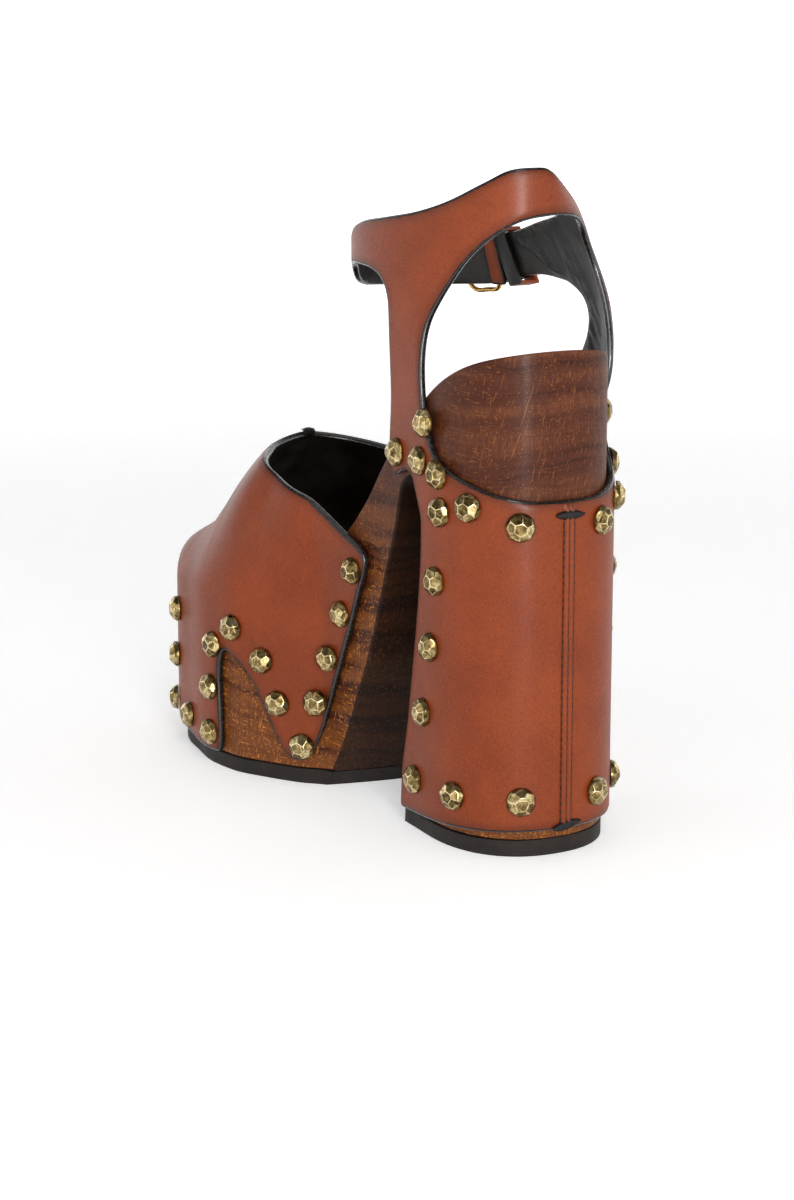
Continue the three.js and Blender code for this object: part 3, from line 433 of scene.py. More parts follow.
def nearest(points, targets):
    """Distance from each point to the nearest target."""
    tree = kdtree.KDTree(len(targets))
    for i, target in enumerate(targets):
        tree.insert((*target, 0.0) if len(target) == 2 else target, i)
    tree.balance()
    return np.array([tree.find((*p, 0.0) if len(p) == 2 else p)[2] for p in points])


def fill_sheet(loops, spacing, guides=None, guide_reach=0.0):
    """Points, triangles and the loops' point numbers of a sheet with an even grid inside its loops."""
    rim = np.vstack(loops)
    low, high = rim.min(0), rim.max(0)
    row_step = spacing * math.sqrt(0.75)
    rows = np.arange(low[1], high[1], row_step)
    grid = np.vstack([
        np.stack([np.arange(low[0] + (i % 2) * spacing / 2, high[0], spacing)] * 2, -1) * (1, 0) + (0, z)
        for i, z in enumerate(rows)])
    grid = grid[inside_loops(grid, loops)]
    grid = grid[nearest(grid, rim) > spacing * 0.6]
    if guides is not None:
        guides = guides[inside_loops(guides, loops)]
        guides = guides[nearest(guides, rim) > 0.5]
        grid = np.vstack([grid[nearest(grid, guides) > guide_reach], guides])
    points = np.vstack([rim, grid])
    starts = np.cumsum([0] + [len(loop) for loop in loops])
    edges = [(int(a + i), int(a + (i + 1) % (b - a)))
             for a, b in zip(starts[:-1], starts[1:]) for i in range(b - a)]
    made = delaunay_2d_cdt([Vector(p) for p in points], edges, [], 0, 1e-6)
    coords = np.array([tuple(v) for v in made[0]])
    triangles = np.array([f for f in made[2] if len(f) == 3])
    triangles = triangles[inside_loops(coords[triangles].mean(1), loops)]
    number = {source: i for i, sources in enumerate(made[3]) for source in sources}
    rings = [[number[i] for i in range(a, b)] for a, b in zip(starts[:-1], starts[1:])]
    return coords, triangles, rings


def sheet_side(points, triangles, ring):
    """Directions towards a sheet's own triangles and along its rim, at the points of a ring."""
    centre = points[triangles].mean(1)
    pull, count = np.zeros_like(points), np.zeros(len(points))
    for corner in range(3):
        np.add.at(pull, triangles[:, corner], centre)
        np.add.at(count, triangles[:, corner], 1)
    around = points[ring]
    inward = pull[ring] / np.maximum(count[ring], 1)[:, None] - around
    tangent = np.roll(around, -1, 0) - np.roll(around, 1, 0)
    tangent /= np.maximum(np.linalg.norm(tangent, axis=1, keepdims=True), 1e-9)
    return inward, tangent


def make_object(name, points, faces, materials, face_material=None, attributes=None, sharp_degrees=40):
    """Mesh object from points in millimetres of the shoe, with point attributes and smooth shading."""
    mesh = bpy.data.meshes.new(name)
    placed = (np.asarray(points, float) + FRAME_SHIFT) * MM
    mesh.from_pydata(placed.tolist(), [], [tuple(int(i) for i in f) for f in faces])
    for material in materials:
        mesh.materials.append(material)
    if face_material is not None:
        mesh.polygons.foreach_set("material_index", np.asarray(face_material, np.int32))
    for key, values in (attributes or {}).items():
        layer = mesh.attributes.new(key, "FLOAT", "POINT")
        layer.data.foreach_set("value", np.asarray(values, np.float32))
    clean = bmesh.new()
    clean.from_mesh(mesh)
    bmesh.ops.remove_doubles(clean, verts=clean.verts, dist=2e-6)
    bmesh.ops.dissolve_degenerate(clean, edges=clean.edges, dist=1e-7)
    bmesh.ops.recalc_face_normals(clean, faces=clean.faces)
    clean.to_mesh(mesh)
    clean.free()
    mesh.polygons.foreach_set("use_smooth", np.ones(len(mesh.polygons), bool))
    if sharp_degrees:
        mesh.set_sharp_from_angle(angle=math.radians(sharp_degrees))
    piece = bpy.data.objects.new(name, mesh)
    bpy.context.scene.collection.objects.link(piece)
    return piece


RIM_STEPS = 6


def even_ring(points):
    """Closed row of points with its small kinks evened out."""
    for _ in range(3):
        points = (np.roll(points, 1, axis=0) + 2 * points + np.roll(points, -1, axis=0)) / 4
    return points


def wall_object(name, sheet, point_at, wall, bulge, materials, relief=None):
    """Leather wall from a flat sheet: outer face, lining and a rounded painted rim, as one closed mesh."""
    coords, triangles, rings = sheet
    a, b = coords[:, 0], coords[:, 1]
    outer = point_at(a, b, np.full(len(a), wall))
    inner = point_at(a, b, np.zeros(len(a)))
    normal = outer - inner
    normal /= np.linalg.norm(normal, axis=1, keepdims=True)
    middle = (outer + inner) / 2
    rim_points = np.vstack([middle[ring] for ring in rings])
    edge = np.maximum(nearest(middle, rim_points), 0)
    if relief:
        outward, inward = relief(a, b, edge)
        outer += normal * outward[:, None]
        inner += normal * inward[:, None]
    count = len(a)
    points, faces, shade = [outer, inner], [], []
    faces += [tuple(t) for t in triangles]
    faces += [(t[0] + count, t[2] + count, t[1] + count) for t in triangles]
    shade += [0] * len(triangles) + [1] * len(triangles)
    edges = [edge, edge]
    total = 2 * count
    for ring in rings:
        inward, tangent = sheet_side(middle, triangles, ring)
        side = np.cross(tangent, normal[ring])
        side /= np.linalg.norm(side, axis=1, keepdims=True)
        if (side * inward).sum() > 0:
            side = -side
        pull = side * bulge
        top, bottom = even_ring(outer[ring] - pull), even_ring(inner[ring] - pull)
        outer[ring], inner[ring] = top, bottom
        rows = [np.array(ring)]
        for step in range(1, RIM_STEPS):
            turn = math.pi * step / RIM_STEPS
            share = (1 - math.cos(turn)) / 2
            points.append(top + (bottom - top) * share + pull * math.sin(turn) ** 0.8)
            edges.append(np.zeros(len(ring)))
            rows.append(total + np.arange(len(ring)))
            total += len(ring)
        rows.append(np.array(ring) + count)
        for upper, lower in zip(rows[:-1], rows[1:]):
            for i in range(len(ring)):
                j = (i + 1) % len(ring)
                faces.append((upper[i], upper[j], lower[j], lower[i]))
                shade.append(2)
    points[0], points[1] = outer, inner
    edge_mm = {"edge_mm": np.concatenate(edges)}
    return make_object(name, np.vstack(points), faces, materials, shade, edge_mm, sharp_degrees=0)


def vamp_loop():
    """Closed outline of the vamp, as places across it and along it."""
    sides = {}
    for side in (-1, 1):
        lower = smooth_edge(VAMP_LOWER_EDGE, VAMP_HEIGHT, 400)
        opening = smooth_edge(TOE_OPENING_EDGE, VAMP_HEIGHT, 120)
        throat = smooth_edge(THROAT_EDGE, VAMP_HEIGHT, 240)
        drop = THROAT_DROP * smooth(np.linspace(0, 1, len(throat)), 0.08, 0.5) * (side > 0)
        throat = throat - np.stack([np.zeros_like(drop), drop], -1)
        flat = []
        for curve in (lower, opening, throat):
            crown = VAMP_HEIGHT * read_table(VAMP_ROWS, curve[:, 0] / SOLE_LENGTH, 2)
            under = curve[:, 1] < crown - 0.02
            place = vamp_across(curve[under, 0], curve[under, 1], side)
            flat.append(np.stack([place, curve[under, 0]], -1))
        sides[side] = flat
    inner, outer = sides[-1], sides[1]
    return np.vstack([inner[0], inner[1], outer[1][::-1], outer[0][::-1], outer[2][::-1], inner[2]])


VAMP_SPREAD = 120.0


def quarter_loops():
    """Outline of the quarter and of its rear opening, as places round the heel and heights."""
    tops = {side: smooth_edge(STRAP_TOP_EDGE[side], COLLAR_TOP) for side in (1, -1)}
    foot = {side: smooth_edge(STRUT_FOOT_EDGE[side], HEEL_HEIGHT) for side in (1, -1)}
    lows = {side: smooth_edge(STRAP_LOW_EDGE[side], COLLAR_TOP) for side in (1, -1)}
    walk = np.linspace(LATERAL_END, TAIL_END, 500)
    top = np.stack([walk, strap_edge_z(walk, tops)], -1)
    walk = np.linspace(TAIL_END, 60, 320)
    low = np.stack([walk, strap_edge_z(walk, lows)], -1)
    last = foot[-1][foot[-1][:, 0] > 0.235 * SOLE_LENGTH]
    last = last[np.argsort(last[:, 0])]
    lows[-1] = np.vstack([last[last[:, 0] < lows[-1][0, 0]], lows[-1]])
    low_y = quarter_point(low[:, 0], low[:, 1], QUARTER_WALL / 2)[:, 1]
    start = STRAP_LOW_EDGE[1][0][0] * SOLE_LENGTH
    low = low[(low[:, 0] > COLLAR_ROUND / 2) | (low_y > start)]
    strut = foot[1][::-1]
    strut = np.stack([quarter_walk(strut[:, 0], strut[:, 1], 1), strut[:, 1]], -1)
    hem_y, hem_z = zip(*HEM_ROWS)
    breast, bottom = {}, {}
    for sign in (1, -1):
        shift = 0 if sign > 0 else -AXIS_SLOPE * (float(outline_x(HEEL_DEPTH, 1)) - ARCH_INNER_X)
        z = np.linspace(hem_z[-1], ARCH_HEIGHT * 0.9, 80)
        y = arch_rear_y(z) - 1.2 + shift
        breast[sign] = np.stack([quarter_walk(y, z, sign), z], -1)
        along = np.linspace(0, 1, 60) * y[0]
        level = np.interp(along, hem_y, hem_z)
        bottom[sign] = np.stack([quarter_walk(along, level, sign), level], -1)
    lateral = np.stack([quarter_walk(foot[-1][:, 0], foot[-1][:, 1], -1), foot[-1][:, 1]], -1)
    lateral = lateral[lateral[:, 0] > LATERAL_END + 0.5]
    walk = np.linspace(lateral[-1, 0], LATERAL_END, 60)[1:]
    short = np.stack([walk, strap_edge_z(walk, lows)], -1)
    pieces = [
        top, low, strut, breast[1][::-1], bottom[1][::-1], bottom[-1][1:], breast[-1], lateral, short]
    hole = []
    for sign in (1, -1):
        curve = smooth_edge(REAR_OPENING_EDGE[sign], HEEL_HEIGHT, 200)
        flat = np.stack([quarter_walk(curve[:, 0], curve[:, 1], sign), curve[:, 1]], -1)
        hole.append(flat[np.abs(flat[:, 0]) > 1e-6])
    return np.vstack(pieces), np.vstack([hole[0], hole[1][::-1]])


def crease_relief(points, creases):
    """Depth of soft creases, each a row of two ends, a width and a depth, at points of a flat sheet."""
    total = np.zeros(len(points))
    for ax, ay, bx, by, width, depth in creases:
        start, span = np.array([ax, ay]), np.array([bx - ax, by - ay])
        length = np.linalg.norm(span)
        t = ((points - start) @ span) / length ** 2
        off = np.linalg.norm(points - start - np.clip(t, 0, 1)[:, None] * span, axis=1)
        fade = smooth(t, -0.25, 0.2) * (1 - smooth(t, 0.8, 1.25))
        total += depth * np.exp(-(off / width) ** 2) * fade
    return total


def arch_shift(x, follow, bulge):
    """How far the arch's walls stand from their inner edge at a place across the sole."""
    across = (x - float(outline_x(HEEL_DEPTH + ARCH_SPAN, -1))) / (BALL_WIDTH * 0.72)
    return -AXIS_SLOPE * (x - ARCH_INNER_X) * follow - bulge * np.maximum(0, 4 * across * (1 - across))


def slab_rim(row, edge_x, side, rounding, turn):
    """Points of a slab's rounded edge: row holds y, z, inset y, inset z, follow and bulge."""
    y0 = row[:, 0] + row[:, 2] * rounding * (1 - math.sin(turn))
    z = row[:, 1] + row[:, 3] * rounding * (1 - math.sin(turn))
    y = y0.copy()
    for _ in range(12):
        width = edge_x(y, 1) - edge_x(y, -1)
        inset = np.minimum(rounding, width / 2) * (1 - math.cos(turn))
        x = edge_x(y, side) - side * inset
        y = y0 + arch_shift(x, row[:, 4], row[:, 5])
    return np.stack([x, y, z], -1)


SLAB_ROUND_STEPS = 4


def slab_object(name, runs, edge_x, ends, rounding, spacing, materials, pocket=None):
    """Block between the two sides of an outline. Each run is a strip of its rim seen from the side,
    with rows of y, z, follow (how far it turns with the arch), bulge and painted shade (near black
    in the arch). Runs end where the outline closes. A pocket names its run, its depth and the outline that it
    follows."""
    whole = np.vstack([run[:, :2] for run in runs])
    low_y, high_y = ends
    rows = []
    for run in runs:
        tangent = np.gradient(run[:, :2], axis=0)
        tangent /= np.linalg.norm(tangent, axis=1, keepdims=True)
        normal = np.stack([-tangent[:, 1], tangent[:, 0]], -1)
        middle = len(run) // 2
        probe = run[middle:middle + 1, :2] + normal[middle] * 0.05
        if not inside_loops(probe, [whole])[0]:
            normal = -normal
        for end in (0, -1):
            normal[end] = (0, math.copysign(1, normal[end, 1]))
        rows.append(np.column_stack([run[:, :2], normal, run[:, 2:4]]))

    def spread(y):
        return np.arccos(np.clip(1 - 2 * (y - low_y) / (high_y - low_y), -1, 1)) / np.pi * (high_y - low_y)

    def gather(q):
        return low_y + (high_y - low_y) * (1 - np.cos(np.pi * q / (high_y - low_y))) / 2

    points, faces, stain = [], [], []
    total = 0
    sheet_rings = {}
    for side in (-1, 1):
        loop, where = [], []
        for i, row in enumerate(rows):
            rim = slab_rim(row, edge_x, side, rounding, 0.0)
            where.append((len(loop), len(rim)))
            loop += [(spread(y), z) for _, y, z in rim]
            following = slab_rim(rows[(i + 1) % len(rows)][:1], edge_x, side, rounding, 0.0)[0]
            gap = abs(following[2] - rim[-1][2])
            extra = max(0, int(gap / spacing) - 1)
            for k in range(1, extra + 1):
                share = k / (extra + 1)
                loop.append((spread(rim[-1][1]), rim[-1][2] + (following[2] - rim[-1][2]) * share))
        coords, triangles, rings = fill_sheet([np.array(loop, float)], spacing)
        y = gather(coords[:, 0])
        points.append(np.stack([edge_x(y, side), y, coords[:, 1]], -1))
        faces += [tuple(t + total) for t in triangles]
        stain.append(np.zeros(len(y)))
        ring = np.array(rings[0]) + total
        sheet_rings[side] = [ring[a:a + n] for a, n in where]
        total += len(y)
    for i, (run, row) in enumerate(zip(runs, rows)):
        strips = [sheet_rings[-1][i]]
        pocketed = pocket and i == pocket[0]
        turns = [math.pi / 2 * k / SLAB_ROUND_STEPS for k in range(1, SLAB_ROUND_STEPS + 1)]
        left = [slab_rim(row, edge_x, -1, rounding, turn) for turn in turns]
        right = [slab_rim(row, edge_x, 1, rounding, turn) for turn in reversed(turns)]
        columns = left[:]
        x_left, x_right = left[-1][:, 0], right[0][:, 0]
        border = (2.7, 3.2, 3.4) if pocketed else ()
        reach = np.maximum(x_right - x_left, 0)
        places = [np.minimum(b - rounding, reach * 0.49 * b / 4) for b in border]
        start = places[-1] if border else 0
        inner = [start + (reach - 2 * start) * t for t in np.linspace(0, 1, 15 if border else 17)[1:-1]]
        offsets = places + inner + [reach - p for p in reversed(places)]
        for offset in offsets:
            x = x_left + offset
            z = row[:, 1].copy()
            y = row[:, 0] + arch_shift(x, row[:, 4], row[:, 5])
            if pocketed:
                distance = nearest(np.stack([x, y], -1), pocket[2])
                z -= pocket[1] * smooth(distance, 2.8, 3.1)
            columns.append(np.stack([x, y, z], -1))
        columns += right
        for column in columns:
            points.append(column)
            stain.append(run[:, 4])
            strips.append(total + np.arange(len(column)))
            total += len(column)
        strips.append(sheet_rings[1][i])
        for a, b in zip(strips[:-1], strips[1:]):
            for k in range(len(a) - 1):
                faces.append((a[k], a[k + 1], b[k + 1], b[k]))
    # Share of near-black painted shade at each point, full on the faces of the arch
    stain = {"stain": np.concatenate(stain)}
    return make_object(name, np.vstack(points), faces, materials, None, stain, sharp_degrees=50)


# The last value of a run's rows is its share of painted shade
def run_rows(y, z, follow=0.0, bulge=0.0, stain=0.0):
    """Rows of a slab's run, with each value along the run."""
    parts = np.broadcast_arrays(np.asarray(y, float), z, follow, bulge, stain)
    return np.stack(parts, -1)


def even_between(low, high, spacing):
    """Even places between two values, both ends included."""
    return np.linspace(low, high, max(2, round(abs(high - low) / spacing) + 1))


def along_outline(low, high, spacing):
    """Places along the sole, closer together where its outline closes."""
    turn = np.linspace(0, math.pi, max(3, round((high - low) * 1.3 / spacing)))
    return low + (high - low) * (1 - np.cos(turn)) / 2


def arch_run(bottom):
    """Wall of the arch from the heel breast over its ceiling to the platform, from the side."""
    share = np.concatenate([
        np.linspace(0, 0.86, 70), np.linspace(0.86, 0.955, 24)[1:], np.linspace(0.955, 1, 26)[1:]])
    z = ARCH_HEIGHT * share
    rear = HEEL_DEPTH + ARCH_SPAN * read_table(ARCH_ROWS, share, 1)
    front = HEEL_DEPTH + ARCH_SPAN * read_table(ARCH_ROWS, share, 2)
    keep = z > bottom
    rear_y = np.concatenate([[np.interp(bottom, z, rear)], rear[keep]])
    front_y = np.concatenate([[np.interp(bottom, z, front)], front[keep]])
    level = np.concatenate([[bottom], z[keep]])
    ceiling = even_between(rear_y[-1], front_y[-1], 1.0)[1:-1]
    y = np.concatenate([rear_y, ceiling, front_y[::-1]])
    z = np.concatenate([level, np.full(len(ceiling), ARCH_HEIGHT), level[::-1]])
    bulge = np.concatenate([
        np.zeros(len(rear_y) + len(ceiling)), REAR_FACE_BULGE * (1 - level[::-1] / ARCH_HEIGHT)])
    # The arch's faces take the full near-black painted shade, standing in for the shadow under the sole
    return run_rows(y, z, 1.0, bulge, 1.0)


def outline_points(inset=0.0):
    """Points round the sole's outline, moved inwards."""
    y = along_outline(0, SOLE_LENGTH, 0.5)
    sides = []
    for side in (-1, 1):
        line = np.stack([outline_x(y, side), y], -1)
        tangent = np.gradient(line, axis=0)
        tangent /= np.linalg.norm(tangent, axis=1, keepdims=True)
        inward = np.stack([-tangent[:, 1], tangent[:, 0]], -1) * side
        sides.append(line + inward * inset)
    return sides


def tangent_frame(origin, across, upward):
    """Frame on a surface: its third axis points along the cross product of the two directions."""
    across = across / np.linalg.norm(across)
    normal = np.cross(across, upward)
    normal /= np.linalg.norm(normal)
    return origin, across, np.cross(normal, across), normal


def quarter_frame(walk, z, lift, reach):
    """Frame on the quarter's outer face, lifted clear of the wall within a reach."""
    def at(a, b):
        return quarter_point(np.array([walk + a]), np.array([z + b]), QUARTER_WALL)[0]

    outward = at(0, 0) - quarter_point(np.array([walk]), np.array([z]), 0.0)[0]
    origin, across, second, normal = tangent_frame(
        at(0, 0), at(reach, 0) - at(-reach, 0), at(0, reach) - at(0, -reach))
    if normal @ outward < 0:
        normal, second = -normal, second
        across = np.cross(second, normal)
    rises = [(at(reach * math.cos(t), reach * math.sin(t)) - origin) @ normal
             for t in np.arange(8) * math.pi / 4]
    return origin + normal * (lift + max(0, *rises)), across, second, normal


def packed_stud_frame(node):
    """Frame of a packed stud from its node's mesh: the base's middle, two sides and the dome's axis."""
    points = np.array([v.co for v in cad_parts[node].data.vertices]) / MM - FRAME_SHIFT
    points = np.unique(points.round(4), axis=0)
    centre = points.mean(0)
    _, directions = np.linalg.eigh(np.cov((points - centre).T))
    axis = directions[:, 0]
    across = points - centre - np.outer((points - centre) @ axis, axis)
    wide = np.linalg.norm(across, axis=1) > STUD_DIAMETER / 2 * 0.97
    base = points[wide].mean(0)
    if (centre - base) @ axis < 0:
        axis = -axis
    helper = np.array([0, 0, 1.0]) if abs(axis[2]) < 0.9 else np.array([1.0, 0, 0])
    first = np.cross(helper, axis)
    first /= np.linalg.norm(first)
    return base, first, np.cross(axis, first), axis


def hammered_stud(draw):
    """Points, faces and wear of one domed stud, cut by flat hammer blows, in its own frame."""
    radius, height = STUD_DIAMETER / 2, STUD_HEIGHT
    stud = bmesh.new()
    bmesh.ops.create_cone(
        stud, cap_ends=True, segments=28, radius1=radius, radius2=radius, depth=height,
        matrix=Matrix.Translation((0, 0, height / 2)))
    blows = [(draw.uniform(0, 9), draw.uniform(0, 360), 0.95)]
    for count, tilt, low, high in ((6, 37, 0.94, 0.975), (8, 64, 0.95, 0.985)):
        start = draw.uniform(0, 360)
        for i in range(count):
            turn = start + 360 * (i + draw.uniform(-0.2, 0.2)) / count
            blows.append((tilt + draw.uniform(-5, 5), turn, draw.uniform(low, high)))
    for tilt, turn, keep in blows:
        s, c = math.sin(math.radians(tilt)), math.cos(math.radians(tilt))
        way = Vector((s * math.cos(math.radians(turn)), s * math.sin(math.radians(turn)), c))
        reach = math.hypot(radius * s, height * c) * keep
        cut = bmesh.ops.bisect_plane(
            stud, geom=stud.verts[:] + stud.edges[:] + stud.faces[:], dist=1e-5,
            plane_co=way * reach, plane_no=way, clear_outer=True)
        edges = [g for g in cut["geom_cut"] if isinstance(g, bmesh.types.BMEdge)]
        if len(edges) > 2:
            bmesh.ops.contextual_create(stud, geom=edges)
    bmesh.ops.remove_doubles(stud, verts=stud.verts, dist=0.12)
    bmesh.ops.dissolve_degenerate(stud, edges=stud.edges, dist=0.02)
    ridges = [e for e in stud.edges if max(v.co.z for v in e.verts) > 0.2 and len(e.link_faces) == 2]
    bmesh.ops.bevel(stud, geom=ridges, offset=0.1, segments=1, affect="EDGES", profile=0.5)
    flats = [f for f in stud.faces if f.calc_area() > 0.8 and f.normal.z > 0.15]
    bmesh.ops.inset_individual(stud, faces=flats, thickness=0.24, depth=0.0, use_even_offset=True)
    facet_wear = {}
    for f in flats:
        tone = draw.uniform(0.0, 0.75)
        for v in f.verts:
            facet_wear[v] = tone
            v.co -= v.normal * 0.02
    stud.verts.ensure_lookup_table()
    points = np.array([v.co for v in stud.verts])
    wear = np.array([
        facet_wear.get(v, 1.0 if math.hypot(v.co.x, v.co.y) < radius * 0.9 else 0.2) for v in stud.verts])
    faces = [[v.index for v in f.verts] for f in stud.faces]
    stud.free()
    return points, faces, wear


def thread_stitch(start, end, outward, radius, bow):
    """Points and faces of one stitch of thread, bowed off the leather between its ends."""
    span = end - start
    length = np.linalg.norm(span)
    ahead = span / length
    outward = outward - ahead * (outward @ ahead)
    outward /= np.linalg.norm(outward)
    aside = np.cross(ahead, outward)
    sides, rings = 6, 5
    points, faces = [], []
    for r in range(rings):
        t = r / (rings - 1)
        swell = 0.35 + 0.65 * math.sin(math.pi * t) ** 0.6
        centre = start + span * t + outward * bow * math.sin(math.pi * t)
        for k in range(sides):
            turn = 2 * math.pi * k / sides
            points.append(centre + (outward * math.cos(turn) + aside * math.sin(turn)) * radius * swell)
    for r in range(rings - 1):
        for k in range(sides):
            a, b = r * sides + k, r * sides + (k + 1) % sides
            faces.append((a, b, b + sides, a + sides))
    faces.append(tuple(range(sides)))
    faces.append(tuple((rings - 1) * sides + k for k in reversed(range(sides))))
    return np.array(points), faces


def joined(parts):
    """Points, faces and attribute values of many small meshes as one."""
    points, faces, values = [], [], []
    total = 0
    for part in parts:
        points.append(part[0])
        faces += [tuple(i + total for i in f) for f in part[1]]
        values.append(part[2] if len(part) > 2 else np.zeros(len(part[0])))
        total += len(part[0])
    return np.vstack(points), faces, np.concatenate(values)


def linear(hex_colour):
    """Linear colour of an sRGB hex value."""
    parts = [int(hex_colour[i:i + 2], 16) / 255 for i in (1, 3, 5)]
    return tuple(c / 12.92 if c <= 0.04045 else ((c + 0.055) / 1.055) ** 2.4 for c in parts) + (1.0,)


def add_node(tree, kind, settings=None, links=None):
    """Adds a node to a material's tree, with its properties, socket values, ramp stops and links."""
    node = tree.nodes.new(kind)
    for key, value in (settings or {}).items():
        if key == "stops":
            ramp = node.color_ramp
            while len(ramp.elements) < len(value):
                ramp.elements.new(0.5)
            for element, (position, colour) in zip(ramp.elements, value):
                element.position = position
                element.color = linear(colour)
        elif isinstance(key, int) or key in node.inputs:
            node.inputs[key].default_value = value
        else:
            setattr(node, key, value)
    for key, socket in (links or {}).items():
        tree.links.new(socket, node.inputs[key])
    return node


def new_material(name, sockets):
    """Material with its output and a Principled shader that has the values of the sockets."""
    material = bpy.data.materials.new(name)
    material.use_nodes = True
    tree = material.node_tree
    tree.nodes.clear()
    output = add_node(tree, "ShaderNodeOutputMaterial")
    shader = add_node(tree, "ShaderNodeBsdfPrincipled", sockets)
    tree.links.new(shader.outputs[0], output.inputs[0])
    return material, tree, shader


def per_metre(millimetres):
    """Scale of a pattern whose repeat is a real size."""
    return 1000.0 / millimetres


def mix_colours(tree, factor, first, second, blend="MIX"):
    """Colour socket of one colour over another. Each colour is a hex value or a socket."""
    node = add_node(tree, "ShaderNodeMix", {"data_type": "RGBA", "blend_type": blend})
    for socket, value in ((0, factor), (6, first), (7, second)):
        if isinstance(value, str):
            node.inputs[socket].default_value = linear(value)
        elif isinstance(value, float):
            node.inputs[socket].default_value = value
        else:
            tree.links.new(value, node.inputs[socket])
    return node.outputs[2]


def ramp_of(tree, socket, low, high, to_low=0.0, to_high=1.0):
    """Value socket mapped from one range to another."""
    return add_node(
        tree, "ShaderNodeMapRange",
        {"From Min": low, "From Max": high, "To Min": to_low, "To Max": to_high,
         "interpolation_type": "SMOOTHSTEP"}, {"Value": socket}).outputs[0]


def noise_of(tree, coords, size, detail=3.0, roughness=0.5, distortion=0.0):
    """Noise whose features have a size in millimetres."""
    return add_node(
        tree, "ShaderNodeTexNoise",
        {"Scale": per_metre(size), "Detail": detail, "Roughness": roughness, "Distortion": distortion},
        {"Vector": coords}).outputs[0]


def stretched(tree, coords, scale, turn=(0.0, 0.0, 0.0)):
    """Coordinates stretched and turned, for a grain that runs one way."""
    parts = tuple(1 / part for part in scale)
    return add_node(
        tree, "ShaderNodeMapping", {"vector_type": "TEXTURE", "Scale": parts, "Rotation": turn},
        {"Vector": coords}).outputs[0]


def object_coords(tree):
    return add_node(tree, "ShaderNodeTexCoord").outputs["Object"]


def attribute_of(tree, name):
    return add_node(tree, "ShaderNodeAttribute", {"attribute_name": name}).outputs["Fac"]


def surface(tree, shader, tone, roughness, layers):
    """Colour, roughness and bump of a finish. Each layer of the bump is a height socket with the real
    depth of its relief in millimetres."""
    tree.links.new(tone, shader.inputs["Base Color"])
    if roughness:
        tree.links.new(roughness, shader.inputs["Roughness"])
    normal = None
    for height, depth in layers:
        links = {"Height": height}
        if normal is not None:
            links["Normal"] = normal
        normal = add_node(tree, "ShaderNodeBump", {"Strength": 1.0, "Distance": depth * MM}, links).outputs[0]
    tree.links.new(normal, shader.inputs["Normal"])


def smooth_calf_leather(look, name="calf_leather_cognac_burnished", edged=True):
    """Vegetable-tanned calf leather, drum-dyed cognac and hand burnished: deeper colour at the cut edges,
    a cloudy middle and a soft wax gloss over a fine hair-cell grain."""
    material, tree, shader = new_material(
        name, {"IOR": 1.5, "Coat Weight": 0.32, "Coat Roughness": 0.27, "Specular IOR Level": 0.08})
    coords = object_coords(tree)
    cloud = noise_of(tree, coords, 26, 3.0, 0.55)
    patch = noise_of(tree, coords, 7, 4.0, 0.6)
    # The real hair cells are about 0.4 mm apart, drawn at 0.75 mm so that they show in the render
    cells = add_node(
        tree, "ShaderNodeTexVoronoi", {"Scale": per_metre(0.75), "Randomness": 1.0},
        {"Vector": coords}).outputs[0]
    speck = noise_of(tree, coords, 0.55, 2.0, 0.7)
    deep, light = look.leather_deep, look.leather_light
    tone = mix_colours(tree, ramp_of(tree, cloud, 0.35, 0.68), deep, light)
    tone = mix_colours(tree, ramp_of(tree, patch, 0.45, 0.75, 0.0, 0.16), tone, look.leather_glow)
    tone = mix_colours(tree, ramp_of(tree, speck, 0.5, 0.7, 0.0, 0.42), tone, look.leather_shadow)
    tone = mix_colours(tree, ramp_of(tree, speck, 0.46, 0.3, 0.0, 0.5), tone, look.leather_glow)
    if edged:
        edge = attribute_of(tree, "edge_mm")
        tone = mix_colours(tree, ramp_of(tree, edge, 0.2, 4.5, 0.6, 0.0), tone, look.leather_shadow)
        # The edge paint laps a little over the grain side
        tone = mix_colours(tree, ramp_of(tree, edge, 0.45, 0.75, 1.0, 0.0), tone, look.lining_deep)
    hairs = noise_of(tree, stretched(tree, coords, (1.0, 1.0, 0.12), (0.5, 0.3, 0.0)), 0.9, 2.0, 0.5)
    surface(tree, shader, tone, ramp_of(tree, speck, 0.3, 0.7, 0.5, 0.64),
            ((cloud, 0.2), (hairs, 0.03), (cells, 0.03), (speck, 0.05)))
    return material


def lining_leather(look):
    """Black glazed goatskin lining: nearly black with a low satin sheen that shows its wrinkles."""
    material, tree, shader = new_material(
        "goatskin_lining_black_glazed", {"IOR": 1.48, "Specular IOR Level": 0.45})
    coords = object_coords(tree)
    cloud = noise_of(tree, coords, 12, 4.0, 0.6)
    grain = noise_of(tree, coords, 0.9, 2.0, 0.6)
    folds = noise_of(tree, stretched(tree, coords, (1.0, 0.35, 1.0), (0.7, 0.4, 0.3)), 3.2, 3.0, 0.55)
    tone = mix_colours(tree, ramp_of(tree, cloud, 0.35, 0.7), look.lining_deep, look.lining_light)
    surface(tree, shader, tone, ramp_of(tree, cloud, 0.3, 0.7, 0.36, 0.5), ((folds, 0.3), (grain, 0.03)))
    return material


def edge_paint(look):
    """Thick black edge paint, brushed on and polished: rounded, glossy, with a thin pale glint."""
    material, tree, shader = new_material(
        "leather_edge_paint_black", {"IOR": 1.5, "Coat Weight": 0.5, "Coat Roughness": 0.12})
    coords = object_coords(tree)
    ripple = noise_of(tree, coords, 1.6, 2.0, 0.5)
    tone = mix_colours(tree, ramp_of(tree, ripple, 0.35, 0.7), look.lining_deep, look.edge_light)
    surface(tree, shader, tone, ramp_of(tree, ripple, 0.3, 0.7, 0.2, 0.34), ((ripple, 0.06),))
    return material


